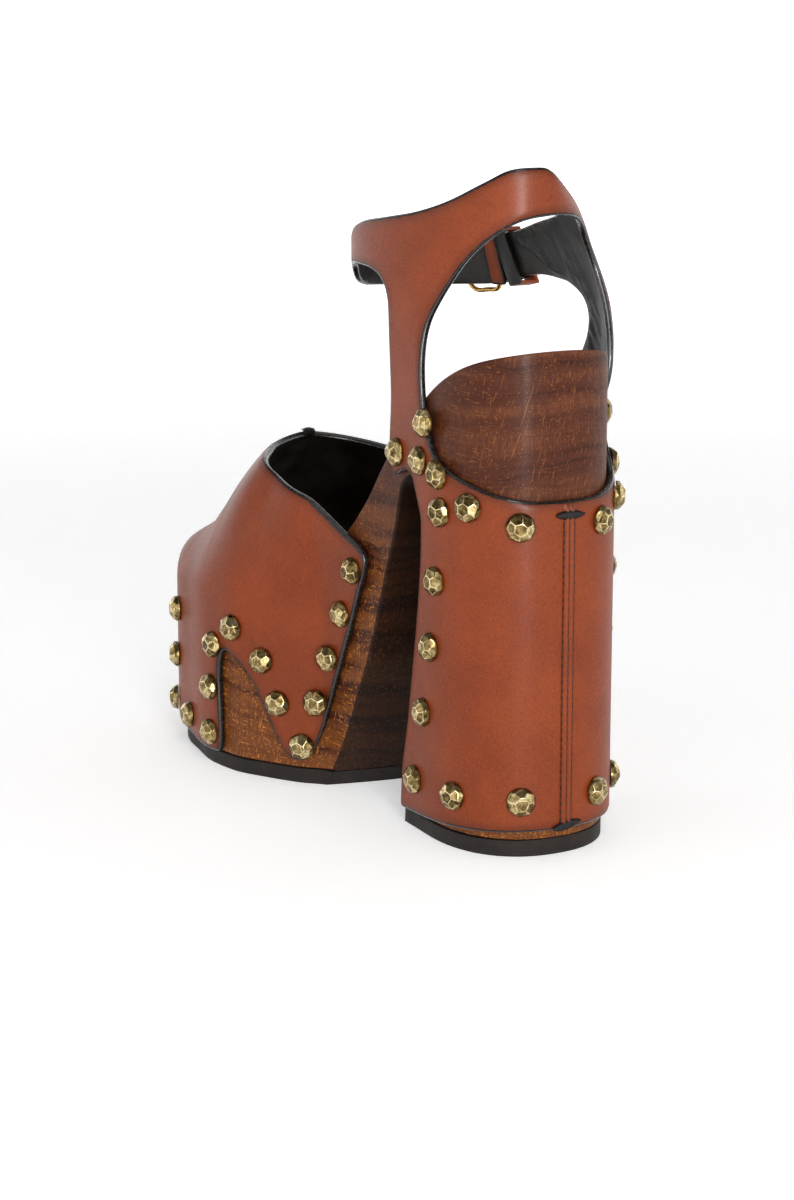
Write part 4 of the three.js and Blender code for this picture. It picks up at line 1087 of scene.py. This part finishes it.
def stained_alder(look):
    """Alder sole, bandsawn, sanded and stained walnut: level growth bands, fine upright fibres,
    pale sanding scratches under a satin lacquer, a warmer, lighter colour low on the sole that is partly
    painted light, and near-black painted shade in the arch."""
    material, tree, shader = new_material(
        "alder_wood_walnut_stain_satin",
        {"IOR": 1.5, "Coat Weight": 0.12, "Coat Roughness": 0.24, "Specular IOR Level": 0.1})
    coords = object_coords(tree)
    wander = noise_of(tree, stretched(tree, coords, (1.0, 1.0, 0.6)), 40, 2.0, 0.5)
    sway = add_node(tree, "ShaderNodeCombineXYZ", None, {0: wander, 1: wander, 2: wander}).outputs[0]
    wavy = add_node(
        tree, "ShaderNodeVectorMath", {"operation": "MULTIPLY_ADD", 1: (0.012, 0.012, 0.014)},
        {0: sway, 2: coords}).outputs[0]
    # Growth bands are about 6.5 mm tall up the heel, each fading in and out
    levels = noise_of(tree, stretched(tree, wavy, (0.06, 0.06, 1.0)), 6.5, 3.0, 0.62)
    fibre = noise_of(tree, stretched(tree, wavy, (1.0, 1.0, 0.05)), 0.5, 3.0, 0.65)
    fine_level = noise_of(tree, stretched(tree, wavy, (0.05, 0.05, 1.0)), 1.4, 2.0, 0.6)
    scratch = noise_of(tree, stretched(tree, coords, (1.0, 1.0, 0.035), (0.12, 0.3, 0.0)), 0.5, 1.0, 0.4)
    cross = noise_of(tree, stretched(tree, coords, (1.0, 0.035, 1.0), (0.12, 0.0, 0.25)), 0.5, 1.0, 0.4)
    stops = ((0.34, look.wood_dark), (0.43, look.wood_band), (0.5, look.wood_mid), (0.6, look.wood_light))
    band = add_node(tree, "ShaderNodeValToRGB", {"stops": stops}, {0: levels})
    tone = mix_colours(tree, ramp_of(tree, fibre, 0.4, 0.66, 0.0, 0.34), band.outputs[0], look.wood_dark)
    tone = mix_colours(tree, ramp_of(tree, fine_level, 0.5, 0.72, 0.0, 0.35), tone, look.wood_light)
    height = add_node(tree, "ShaderNodeSeparateXYZ", None, {0: coords})
    low_down = ramp_of(tree, height.outputs[2], 0.135, 0.06)
    # Lighter, warmer colour towards the bottom of the sole: partly the wood's own colour, partly painted
    # light on its lit lower sides
    warm_and_lit = add_node(tree, "ShaderNodeMath", {"operation": "MULTIPLY"}, {
        0: ramp_of(tree, low_down, 0.0, 1.0, 0.0, 0.75), 1: ramp_of(tree, levels, 0.4, 0.56)}).outputs[0]
    tone = mix_colours(tree, warm_and_lit, tone, look.wood_golden_and_lit)
    tone = mix_colours(tree, ramp_of(tree, fibre, 0.42, 0.62, 0.0, 0.38), tone, look.wood_band)
    scrape = add_node(
        tree, "ShaderNodeMath", {"operation": "MAXIMUM"},
        {0: ramp_of(tree, scratch, 0.64, 0.72), 1: ramp_of(tree, cross, 0.63, 0.71)}).outputs[0]
    amount = add_node(tree, "ShaderNodeMath", {"operation": "MULTIPLY"}, {
        0: scrape, 1: ramp_of(tree, low_down, 0.2, 1.0, 0.22, 0.8)}).outputs[0]
    tone = mix_colours(tree, amount, tone, look.wood_scratch)
    # Near-black painted shade on the arch's faces, where the underside of the sole lies in shadow
    stain = ramp_of(tree, attribute_of(tree, "stain"), 0.2, 0.9, 0.0, 0.86)
    tone = mix_colours(tree, stain, tone, look.wood_arch_shade)
    surface(tree, shader, tone, ramp_of(tree, fibre, 0.3, 0.7, 0.46, 0.6),
            ((fibre, 0.05), (fine_level, 0.03), (amount, 0.05)))
    return material


def rubber_outsole(look):
    """Black nitrile rubber sheet, die cut and edge trimmed: dull, with the fine drag of the knife."""
    material, tree, shader = new_material(
        "nitrile_rubber_sheet_trimmed", {"IOR": 1.52, "Specular IOR Level": 0.25})
    coords = object_coords(tree)
    drag = noise_of(tree, stretched(tree, coords, (0.12, 0.12, 1.0)), 0.8, 2.0, 0.5)
    dust = noise_of(tree, coords, 5, 4.0, 0.65)
    tone = mix_colours(tree, ramp_of(tree, dust, 0.4, 0.75), look.rubber_deep, look.rubber_light)
    grit = noise_of(tree, coords, 0.7, 2.0, 0.6)
    surface(tree, shader, tone, ramp_of(tree, dust, 0.3, 0.7, 0.55, 0.75), ((drag, 0.06), (grit, 0.05)))
    return material


def antique_brass(look):
    """Cast brass studs, hammered, darkened with liver of sulphur and tumbled: olive-black hollows and
    pale gold ridges where the tumbling wore the dark away."""
    material, tree, shader = new_material("antique_brass_hammered_tumbled", {"Metallic": 1.0})
    coords = object_coords(tree)
    wear = attribute_of(tree, "wear")
    mottle = noise_of(tree, coords, 1.7, 4.0, 0.6)
    worn = add_node(tree, "ShaderNodeMath", {"operation": "MULTIPLY_ADD", 1: 0.6}, {
        0: wear, 2: ramp_of(tree, mottle, 0.36, 0.66, 0.0, 0.38)}).outputs[0]
    tone = add_node(tree, "ShaderNodeValToRGB", {"stops": (
        (0.08, look.brass_dark), (0.45, look.brass_mid), (0.9, look.brass_bright))}, {0: worn})
    pits = noise_of(tree, coords, 0.5, 2.0, 0.6)
    surface(tree, shader, tone.outputs[0], ramp_of(tree, worn, 0.1, 0.9, 0.36, 0.2),
            ((mottle, 0.015), (pits, 0.006)))
    return material


def polished_gold(look):
    """Zinc buckle wire, gold plated and polished: warm mirror with faint handling haze."""
    material, tree, shader = new_material("zinc_gold_plated_polished", {"Metallic": 1.0})
    coords = object_coords(tree)
    haze = noise_of(tree, coords, 2.2, 3.0, 0.6)
    tone = mix_colours(tree, ramp_of(tree, haze, 0.35, 0.7), look.gold_deep, look.gold_light)
    surface(tree, shader, tone, ramp_of(tree, haze, 0.3, 0.7, 0.16, 0.3), ((haze, 0.02),))
    return material


def waxed_thread(look):
    """Black bonded polyester thread, waxed: dark twisted cord with a dull glint along each turn."""
    material, tree, shader = new_material(
        "polyester_thread_black_waxed", {"Roughness": 0.5, "Specular IOR Level": 0.3})
    coords = object_coords(tree)
    # The twist of such thread is about 0.3 mm, drawn at 0.4 mm
    twist = noise_of(tree, stretched(tree, coords, (1.0, 1.0, 0.4), (0.8, 0.0, 0.0)), 0.4, 1.0, 0.5)
    tone = mix_colours(tree, ramp_of(tree, twist, 0.4, 0.7), look.thread_deep, look.edge_light)
    surface(tree, shader, tone, None, ((twist, 0.08),))
    return material


def studio_paper(look):
    """Seamless matt paper, lit evenly from within with distance, so that it fades to plain white."""
    material, tree, shader = new_material("studio_paper_matt_white", {
        "Roughness": 0.9, "Specular IOR Level": 0.1, "Emission Color": (1, 1, 1, 1)})
    fibres = noise_of(tree, object_coords(tree), 2.0, 2.0, 0.5)
    tone = mix_colours(tree, ramp_of(tree, fibres, 0.3, 0.7, 0.0, 1.0), look.paper, "#FFFFFF")
    tree.links.new(tone, shader.inputs["Base Color"])
    distance = add_node(
        tree, "ShaderNodeVectorMath", {"operation": "LENGTH"}, {0: object_coords(tree)}).outputs["Value"]
    height = add_node(tree, "ShaderNodeSeparateXYZ", None, {0: object_coords(tree)}).outputs[2]
    glow = add_node(tree, "ShaderNodeMath", {"operation": "MULTIPLY"}, {
        0: ramp_of(tree, distance, 0.5, 2.6, look.paper_glow, 1.0),
        1: ramp_of(tree, height, 0.75, 1.25, 1.0, 0.05)})
    tree.links.new(glow.outputs[0], shader.inputs["Emission Strength"])
    return material


def hex_property(name, description, default):
    """String property that holds an sRGB hex colour."""
    return StringProperty(name=name, description=description, default=default)


def length_property(name, description, default):
    """Property that holds a length in metres."""
    return FloatProperty(name=name, description=description, default=default, unit="LENGTH")


class ClogLook(bpy.types.PropertyGroup):
    """Colours of the finishes, as sRGB hex values."""

    leather_deep: hex_property("Leather deep", "Darker cloud of the cognac leather", "#743010")
    leather_light: hex_property("Leather light", "Lighter cloud of the cognac leather", "#7F3613")
    leather_glow: hex_property("Leather glow", "Warm patches of the leather", "#8F4018")
    leather_shadow: hex_property("Leather burnish", "Burnished edges and specks", "#451C0B")
    lining_deep: hex_property("Lining deep", "Black of the lining", "#0F0D0C")
    lining_light: hex_property("Lining light", "Worn black of the lining", "#1E1A17")
    edge_light: hex_property("Edge light", "Thin places of the edge paint", "#1B1715")
    wood_dark: hex_property("Wood dark", "Dark growth bands", "#29120A")
    wood_band: hex_property("Wood band", "Shoulders of the bands", "#431E0F")
    wood_mid: hex_property("Wood middle", "Stained wood between the bands", "#4A2415")
    wood_light: hex_property("Wood light", "Palest stained wood", "#5B311C")
    # Warmer, lighter colour low on the sole, partly painted light on its lit lower sides
    wood_golden_and_lit: hex_property("Wood golden", "Warmer stain low on the sole", "#74421B")
    wood_scratch: hex_property("Wood scratch", "Sanding scratches in the stain", "#BC7430")
    # Near-black colour of the painted shade inside the arch
    wood_arch_shade: hex_property("Wood black", "Stain inside the arch", "#0C0603")
    rubber_deep: hex_property("Rubber deep", "Outsole rubber", "#17120F")
    rubber_light: hex_property("Rubber light", "Dusty outsole rubber", "#2A211C")
    brass_dark: hex_property("Brass dark", "Darkened hollows of the studs", "#42361E")
    brass_mid: hex_property("Brass middle", "Half-worn brass", "#937D50")
    brass_bright: hex_property("Brass bright", "Worn ridges of the studs", "#E6D5A4")
    gold_deep: hex_property("Gold deep", "Buckle plating, hazed", "#B98A45")
    gold_light: hex_property("Gold light", "Buckle plating, clean", "#D9AE66")
    thread_deep: hex_property("Thread", "Waxed thread", "#0D0B0A")
    paper: hex_property("Paper", "Studio background", "#F4F4F4")
    paper_glow: FloatProperty(
        name="Paper glow", description="Light that the paper adds of itself near the shoe", default=0.38)


class ClogSizes(bpy.types.PropertyGroup):
    """Sizes of the made surface."""

    mesh_step: length_property("Mesh step", "Distance between the points of the upper", 0.0015)
    wood_step: length_property("Wood step", "Distance between the points of the sole", 0.0022)
    edge_bulge: length_property("Edge bulge", "How far a painted edge rounds out", 0.0006)
    wood_edge: length_property("Wood edge", "Radius of the sole's sanded edges", 0.0009)
    stitch_length: length_property("Stitch length", "Length of a seam stitch", 0.0024)
    stitch_gap: length_property("Stitch gap", "Space between two stitches", 0.0003)
    thread_radius: length_property("Thread radius", "Radius of the seam thread", 0.0002)
    seam_width: length_property("Seam width", "Width of the raised back seam", 0.0036)
    stud_kinds: IntProperty(
        name="Stud kinds", description="How many different hammered studs are made", default=7, min=1)


SEAM_WALK = -1.0
SEAM_LOW = 9.6
SEAM_HIGH = 116.0

# Soft creases of the strap's lining: two ends as places round the heel and heights, width and depth
LINING_CREASES = (
    (-87, 198, -62, 184, 0.9, 0.6), (-83, 201, -57, 179, 1.2, 0.8), (-78, 202, -54, 174, 0.9, 0.7),
    (-74, 204, -51, 170, 1.3, 0.9), (-69, 204, -49, 165, 0.9, 0.7), (-65, 205, -47, 161, 1.2, 0.8),
    (-61, 206, -45, 159, 0.9, 0.6), (-57, 205, -43, 164, 1.1, 0.8), (-53, 203, -42, 170, 0.9, 0.6),
    (-60, 181, -46, 149, 1.1, 0.7), (-56, 174, -44, 143, 0.9, 0.6), (-52, 160, -43, 135, 1.0, 0.5),
)
# Faint flexing creases in the outer leather, in the same way
LEATHER_CREASES = (
    (46, 150, 57, 155, 2.2, -0.18), (45, 158, 58, 161, 2.4, -0.2), (44, 143, 55, 149, 2.0, -0.15),
    (30, 116, 42, 121, 2.6, -0.15), (52, 176, 66, 182, 3.0, -0.2),
)


def shared(name, maker, look):
    """Material by name, made when it is first needed."""
    return bpy.data.materials.get(name) or maker(look)


def upper_materials(look):
    """Leather, lining and painted edge of the upper."""
    return [
        shared("calf_leather_cognac_burnished", smooth_calf_leather, look),
        shared("goatskin_lining_black_glazed", lining_leather, look),
        shared("leather_edge_paint_black", edge_paint, look)]


def finish_piece(piece, nodes=()):
    """Rides a piece on the shoe's one body and hides the imported parts that it stands in for."""
    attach(piece, "root")
    if nodes:
        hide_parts(*nodes)
    return piece


class CLOG_OT_sole(bpy.types.Operator):
    """Carve the wooden sole with its arch, and lay the footbed in its pocket"""

    bl_idname = "clog.sole"
    bl_label = "Wooden sole and footbed"

    def execute(self, context):
        look, sizes = context.scene.clog_look, context.scene.clog_sizes
        wood = shared("alder_wood_walnut_stain_satin", stained_alder, look)
        step, radius = sizes.wood_step / MM, sizes.wood_edge / MM
        lift = OUTSOLE + GAP
        arch = arch_run(lift)
        y = along_outline(0, 2 * HEEL_DEPTH, step)
        y = np.append(y[y < HEEL_DEPTH - 1], HEEL_DEPTH)[:-1]
        heel = run_rows(y, tread_z(y) + lift, y / HEEL_DEPTH)
        front = arch[-1, 0]
        y = SOLE_LENGTH - along_outline(0, 2 * (SOLE_LENGTH - front), step)
        y = np.sort(y[(y > front + 1) & (y <= SOLE_LENGTH)])
        share = (SOLE_LENGTH - y) / (SOLE_LENGTH - front)
        platform = run_rows(y, tread_z(y) + lift, share, REAR_FACE_BULGE * share)
        y = along_outline(0, SOLE_LENGTH, step * 0.8)[::-1]
        top = run_rows(y, footbed_z(y))
        rim = np.vstack(outline_points())
        piece = slab_object(
            "sole_carved_wood", [np.vstack([heel, arch, platform]), top], outline_x, (0.0, SOLE_LENGTH),
            radius, step, [wood], pocket=(1, INSOLE + GAP, rim))
        finish_piece(piece, ["sole_wood"])
        inner, outer = (line[np.argsort(line[:, 1])] for line in outline_points(INSOLE_INSET))
        low, high = INSOLE_INSET, SOLE_LENGTH - INSOLE_INSET

        def edge_x(y, side):
            right, left = (np.interp(y, line[:, 1], line[:, 0]) for line in (outer, inner))
            closing = np.sqrt(np.clip(np.minimum(y - low, high - y) / 0.8, 0, 1))
            return (right + left) / 2 + side * np.maximum((right - left) / 2, 0) * closing

        y = along_outline(low, high, step)
        under = run_rows(y, footbed_z(y) - INSOLE)
        over = run_rows(y[::-1], footbed_z(y[::-1]))
        footbed = slab_object("footbed_board", [under, over], edge_x, (low, high), 0.5, 1.2, [wood])
        finish_piece(footbed, ["insole"])
        return {"FINISHED"}


class CLOG_OT_outsoles(bpy.types.Operator):
    """Cut the rubber outsoles of the heel and the platform"""

    bl_idname = "clog.outsoles"
    bl_label = "Rubber outsoles"

    def execute(self, context):
        look = context.scene.clog_look
        rubber = shared("nitrile_rubber_sheet_trimmed", rubber_outsole, look)
        step = 1.3
        y = along_outline(0, 2 * HEEL_DEPTH, step)
        y = y[y < HEEL_DEPTH - 0.8]
        wall = even_between(0, OUTSOLE, 1.1)
        rear = arch_rear_y(wall)
        bottom = run_rows(y, 0.0, y / HEEL_DEPTH)
        breast = run_rows(rear, wall, 1.0)
        top = run_rows(y[::-1], OUTSOLE, y[::-1] / HEEL_DEPTH)
        ends = (0.0, SOLE_LENGTH)
        rim = np.vstack([bottom, breast, top])
        heel = slab_object("outsole_heel_rubber", [rim], outline_x, ends, 0.5, step, [rubber])
        finish_piece(heel, ["outsole_heel"])
        front = HEEL_DEPTH + ARCH_SPAN * read_table(ARCH_ROWS, wall / ARCH_HEIGHT, 2)
        y = SOLE_LENGTH - along_outline(0, 2 * (SOLE_LENGTH - front[0]), step)
        y = np.sort(y[(y > front[0] + 0.8) & (y <= SOLE_LENGTH)])
        share = (SOLE_LENGTH - y) / (SOLE_LENGTH - front[0])
        top = run_rows(y[::-1], tread_z(y[::-1]) + OUTSOLE, share[::-1], REAR_FACE_BULGE * share[::-1])
        face = run_rows(front[::-1], wall[::-1], 1.0, REAR_FACE_BULGE)
        bottom = run_rows(y, tread_z(y), share, REAR_FACE_BULGE * share)
        rim = np.vstack([top, face, bottom])
        tread = slab_object("outsole_forefoot_rubber", [rim], outline_x, ends, 0.5, step, [rubber])
        finish_piece(tread, ["outsole_forefoot"])
        return {"FINISHED"}


class CLOG_OT_vamp(bpy.types.Operator):
    """Form the vamp over the last, with its lining and painted edges"""

    bl_idname = "clog.vamp"
    bl_label = "Vamp"

    def execute(self, context):
        look, sizes = context.scene.clog_look, context.scene.clog_sizes
        step = sizes.mesh_step / MM
        loop = resample(vamp_loop() * (VAMP_SPREAD, 1), step * 0.8)
        sheet = fill_sheet([loop], step)

        def point_at(a, b, depth):
            return vamp_point(a / VAMP_SPREAD, b, depth)

        def relief(a, b, edge):
            outward = -0.35 * (1 - smooth(edge, 0.0, 2.2))
            inward = -0.15 * np.sin(b / 5.0 + a / 9.0) * smooth(edge, 2, 8)
            return outward, inward

        piece = wall_object(
            "vamp_leather", sheet, point_at, VAMP_WALL, sizes.edge_bulge / MM, upper_materials(look), relief)
        finish_piece(piece, ["vamp"])
        return {"FINISHED"}


class CLOG_OT_quarter(bpy.types.Operator):
    """Form the heel cover, struts and ankle strap as one wall, with the raised back seam"""

    bl_idname = "clog.quarter"
    bl_label = "Quarter and ankle strap"

    def execute(self, context):
        look, sizes = context.scene.clog_look, context.scene.clog_sizes
        step = sizes.mesh_step / MM
        outline, opening = quarter_loops()
        loops = [resample(outline, step * 0.8), resample(opening, step * 0.8)]
        half = sizes.seam_width / MM / 2
        across = np.array([-1.6, -1.2, -1.0, -0.85, -0.5, -0.15, 0.0, 0.15, 0.5, 0.85, 1.0, 1.2, 1.6]) * half
        heights = even_between(SEAM_LOW, SEAM_HIGH, 1.3)
        guides = np.array([(SEAM_WALK + a, z) for a in across for z in heights])
        sheet = fill_sheet(loops, step, guides, 1.0)

        def relief(a, b, edge):
            flat = np.stack([a, b], -1)
            outward = -0.3 * (1 - smooth(edge, 0.0, 2.0))
            off = np.abs(a - SEAM_WALK)
            fade = smooth(b, 5, 9) * (1 - smooth(b, 113, 118))
            welt = np.sqrt(np.clip(1 - ((off - half / 2) / (half / 2)) ** 2, 0, 1))
            outward += (0.9 * welt - 0.25 * np.exp(-((off - half * 1.05) / 0.3) ** 2)) * fade
            outward += crease_relief(flat, LEATHER_CREASES) * smooth(edge, 0, 3)
            inward = -1.4 * crease_relief(flat, LINING_CREASES) * smooth(edge, 0.5, 4)
            walk, z, reach, depth = STRUT_FULLNESS
            fullness = depth * np.exp(-((a - walk) / reach) ** 2 - ((b - z) / reach) ** 2)
            return outward + fullness, inward + fullness

        piece = wall_object(
            "quarter_leather", sheet, quarter_point, QUARTER_WALL, sizes.edge_bulge / MM,
            upper_materials(look), relief)
        finish_piece(piece, ["quarter"])
        return {"FINISHED"}


class CLOG_OT_studs(bpy.types.Operator):
    """Seat the hammered brass studs on the leather"""

    bl_idname = "clog.studs"
    bl_label = "Hammered studs"

    def execute(self, context):
        look, sizes = context.scene.clog_look, context.scene.clog_sizes
        brass = shared("antique_brass_hammered_tumbled", antique_brass, look)
        draw = random.Random(7)
        kinds = [hammered_stud(draw) for _ in range(sizes.stud_kinds)]
        groups = {
            "vamp_studs": [n for n in sorted(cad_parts) if n.startswith("stud_vamp")],
            "heel_studs": [n for n in sorted(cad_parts) if n.startswith("stud_heel")],
        }
        for name, nodes in groups.items():
            frames = [packed_stud_frame(node) for node in nodes]
            if name == "heel_studs":
                frames += [
                    quarter_frame(-side * walk * SOLE_LENGTH, up * HEEL_HEIGHT, GAP, STUD_DIAMETER / 2)
                    for side in (-1, 1) for walk, up in STRUT_STUD_ROWS]
            parts = []
            for origin, first, second, axis in frames:
                points, faces, wear = kinds[draw.randrange(len(kinds))]
                turn = draw.uniform(0, 2 * math.pi)
                u = first * math.cos(turn) + second * math.sin(turn)
                v = np.cross(axis, u)
                placed = origin + points[:, :1] * u + points[:, 1:2] * v + points[:, 2:] * axis
                parts.append((placed, faces, wear))
            points, faces, wear = joined(parts)
            piece = make_object(name, points, faces, [brass], None, {"wear": wear}, 25)
            finish_piece(piece, nodes)
        return {"FINISHED"}


def sewn_piece(name, stitches, thread):
    """Piece of many stitches, riding on the shoe."""
    points, faces, _ = joined(stitches)
    return finish_piece(make_object(name, points, faces, [thread], sharp_degrees=60))


class CLOG_OT_stitching(bpy.types.Operator):
    """Sew the back seam and its bar tacks in waxed thread"""

    bl_idname = "clog.stitching"
    bl_label = "Back seam stitching"

    def execute(self, context):
        look, sizes = context.scene.clog_look, context.scene.clog_sizes
        thread = shared("polyester_thread_black_waxed", waxed_thread, look)
        radius = sizes.thread_radius / MM
        length, gap = sizes.stitch_length / MM, sizes.stitch_gap / MM
        half = sizes.seam_width / MM / 2

        def on_quarter(walk, z, off):
            return quarter_point(np.array([walk]), np.array([z]), QUARTER_WALL + off)[0]

        stitches = []
        for across, off in ((-1.07 * half, 0.08), (0.0, 0.22), (1.07 * half, 0.08)):
            z = SEAM_LOW + 1.5
            while z + length < SEAM_HIGH - 1.5:
                start = on_quarter(SEAM_WALK + across, z, off)
                end = on_quarter(SEAM_WALK + across, z + length, off)
                outward = on_quarter(SEAM_WALK + across, z, off + 1) - start
                stitches.append(thread_stitch(start, end, outward, radius, 0.1))
                z += length + gap
        sewn_piece("seam_stitches", stitches, thread)
        tacks = []
        for centre, tilt in ((SEAM_HIGH - 3.2, 0.0), (SEAM_LOW + 0.6, 0.16)):
            for place in np.arange(-5.0, 5.01, 0.42):
                tall = 0.35 + 1.3 * (1 - (place / 5.2) ** 2)
                middle = centre - place * tilt
                walk = SEAM_WALK + place
                start = on_quarter(walk - 0.15, middle - tall, 0.35)
                end = on_quarter(walk + 0.15, middle + tall, 0.35)
                outward = on_quarter(walk, middle, 1.35) - on_quarter(walk, middle, 0.35)
                tacks.append(thread_stitch(start, end, outward, 0.34, 0.55))
        sewn_piece("bar_tacks", tacks, thread)
        loops = []
        place = np.array([THROAT_EDGE[0][0] * SOLE_LENGTH - 0.5])
        for across in np.arange(-0.034, 0.0341, 0.0056):
            lobe = 1 - 0.45 * math.exp(-(across / 0.008) ** 2) - 0.35 * smooth(abs(across), 0.02, 0.036)
            start = vamp_point(np.array([across]), place + 0.6, np.array([-0.6]))[0]
            end = vamp_point(np.array([across]), place - 0.6, np.array([VAMP_WALL + 0.3]))[0]
            loops.append(thread_stitch(
                start + (0, 0, 0.5), end + (0, 0, 0.2), np.array([0, -0.5, 1.0]), 0.42, 2.6 * lobe))
        sewn_piece("throat_tack", loops, thread)
        return {"FINISHED"}


class CLOG_OT_buckle(bpy.types.Operator):
    """Finish the buckle, its prong and the strap keeper"""

    bl_idname = "clog.buckle"
    bl_label = "Buckle and keeper"

    def execute(self, context):
        look = context.scene.clog_look
        gold = shared("zinc_gold_plated_polished", polished_gold, look)
        plain = smooth_calf_leather(look, "calf_leather_cognac_plain", False)
        for name in ("buckle_frame", "buckle_prong", "strap_keeper"):
            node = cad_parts[name]
            node.data.materials.clear()
            node.data.materials.append(plain if name == "strap_keeper" else gold)
            node.data.polygons.foreach_set("use_smooth", np.ones(len(node.data.polygons), bool))
            weld = node.modifiers.new("Weld", "WELD")
            weld.merge_threshold = 2e-5
            if name == "strap_keeper":
                bevel = node.modifiers.new("Bevel", "BEVEL")
                bevel.width = 0.0004
                bevel.segments = 3
                bevel.limit_method = "ANGLE"
            else:
                rounding = node.modifiers.new("Rounding", "SUBSURF")
                rounding.levels = 2
                rounding.render_levels = 2
        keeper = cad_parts["strap_keeper"]
        keeper.data.materials.append(upper_materials(look)[1])
        centres = np.array([p.center for p in keeper.data.polygons]) / MM - FRAME_SHIFT
        walks = np.linspace(LATERAL_END, LATERAL_END + 14, 60)
        for polygon, centre in zip(keeper.data.polygons, centres):
            wall = quarter_point(walks, centre[2], 0.0)
            i = int(np.argmin(np.linalg.norm(wall - centre, axis=1)))
            outer = quarter_point(walks[i:i + 1], centre[2:], 1.0)[0]
            polygon.material_index = int((centre - wall[i]) @ (outer - wall[i]) < 0.3)
        low, high = LATERAL_END - 5.0, LATERAL_END + 1.2
        under, over = FOLD_LEVELS
        corners = np.array([(low, under), (high, under), (high, over), (low, over), (low, under)])
        sheet = fill_sheet([resample(corners, 0.8)], 1.0)
        piece = wall_object(
            "buckle_fold", sheet, lambda a, b, depth: quarter_point(a, b, depth - 1.5), 1.2, 0.3,
            [upper_materials(look)[0]] * 3)
        finish_piece(piece)
        return {"FINISHED"}


def area_light(name, place, size, watts):
    """Soft box that points at the shoe."""
    light = bpy.data.lights.new(name, "AREA")
    light.shape = "RECTANGLE"
    light.size, light.size_y = size
    light.energy = watts
    lamp = bpy.data.objects.new(name, light)
    lamp.location = place
    lamp.rotation_euler = (Vector(LIGHTS_AIM) - Vector(place)).to_track_quat("-Z", "Y").to_euler()
    bpy.context.scene.collection.objects.link(lamp)


class CLOG_OT_stage(bpy.types.Operator):
    """Set the pale studio, its soft boxes and the camera"""

    bl_idname = "clog.stage"
    bl_label = "Studio and camera"

    def execute(self, context):
        look = context.scene.clog_look
        mesh = bpy.data.meshes.new("studio_floor")
        turns = np.radians(np.arange(0, 91, 7.5))
        sweep = [
            (FLOOR_REACH + FLOOR_TURN * math.sin(t), FLOOR_TURN - FLOOR_TURN * math.cos(t)) for t in turns]
        sweep.append((FLOOR_REACH + FLOOR_TURN, WALL_TOP))
        around = np.radians(np.arange(0, 360, 5))
        corners = [(reach * math.cos(t), reach * math.sin(t), z) for reach, z in sweep for t in around]
        count = len(around)
        faces = [tuple(range(count))]
        for row in range(0, (len(sweep) - 1) * count, count):
            for i in range(count):
                j = (i + 1) % count
                faces.append((row + i, row + j, row + count + j, row + count + i))
        mesh.from_pydata(corners, [], faces)
        mesh.shade_smooth()
        mesh.polygons[0].use_smooth = False
        mesh.materials.append(studio_paper(look))
        floor = bpy.data.objects.new("studio_floor", mesh)
        context.scene.collection.objects.link(floor)
        world = bpy.data.worlds.new("studio_air")
        context.scene.world = world
        world.use_nodes = True
        air = world.node_tree.nodes["Background"]
        air.inputs[0].default_value = linear("#FFFFFF")
        air.inputs[1].default_value = AIR_LIGHT
        for box in LIGHT_BOXES:
            area_light(*box)
        camera = bpy.data.cameras.new("photo_camera")
        camera.lens = CAMERA_LENS
        camera.sensor_width = 36.0
        camera.clip_start = 0.05
        camera.clip_end = 50.0
        eye = bpy.data.objects.new("photo_camera", camera)
        eye.location = CAMERA_PLACE
        eye.rotation_euler = (math.radians(CAMERA_TILT), 0.0, -math.radians(CAMERA_HEADING))
        context.scene.collection.objects.link(eye)
        context.scene.camera = eye
        context.scene.view_settings.view_transform = "Standard"
        return {"FINISHED"}


STEPS = (
    CLOG_OT_sole, CLOG_OT_outsoles, CLOG_OT_vamp, CLOG_OT_quarter, CLOG_OT_studs, CLOG_OT_stitching,
    CLOG_OT_buckle, CLOG_OT_stage,
)


class CLOG_PT_sandal(bpy.types.Panel):
    """Steps that build the sandal"""

    bl_idname = "CLOG_PT_sandal"
    bl_label = "Platform clog sandal"
    bl_space_type = "VIEW_3D"
    bl_region_type = "UI"
    bl_category = "Clog Sandal"

    def draw(self, context):
        for step in STEPS:
            self.layout.operator(step.bl_idname)
        for group in (context.scene.clog_sizes, context.scene.clog_look):
            for key in group.__annotations__:
                self.layout.prop(group, key)


CLASSES = (ClogLook, ClogSizes, *STEPS, CLOG_PT_sandal)


def register():
    for kind in CLASSES:
        bpy.utils.register_class(kind)
    bpy.types.Scene.clog_look = PointerProperty(type=ClogLook)
    bpy.types.Scene.clog_sizes = PointerProperty(type=ClogSizes)


def unregister():
    del bpy.types.Scene.clog_sizes
    del bpy.types.Scene.clog_look
    for kind in reversed(CLASSES):
        bpy.utils.unregister_class(kind)


def main():
    register()
    for step in STEPS:
        group, name = step.bl_idname.split(".")
        getattr(getattr(bpy.ops, group), name)()


if __name__ == "__main__":
    main()
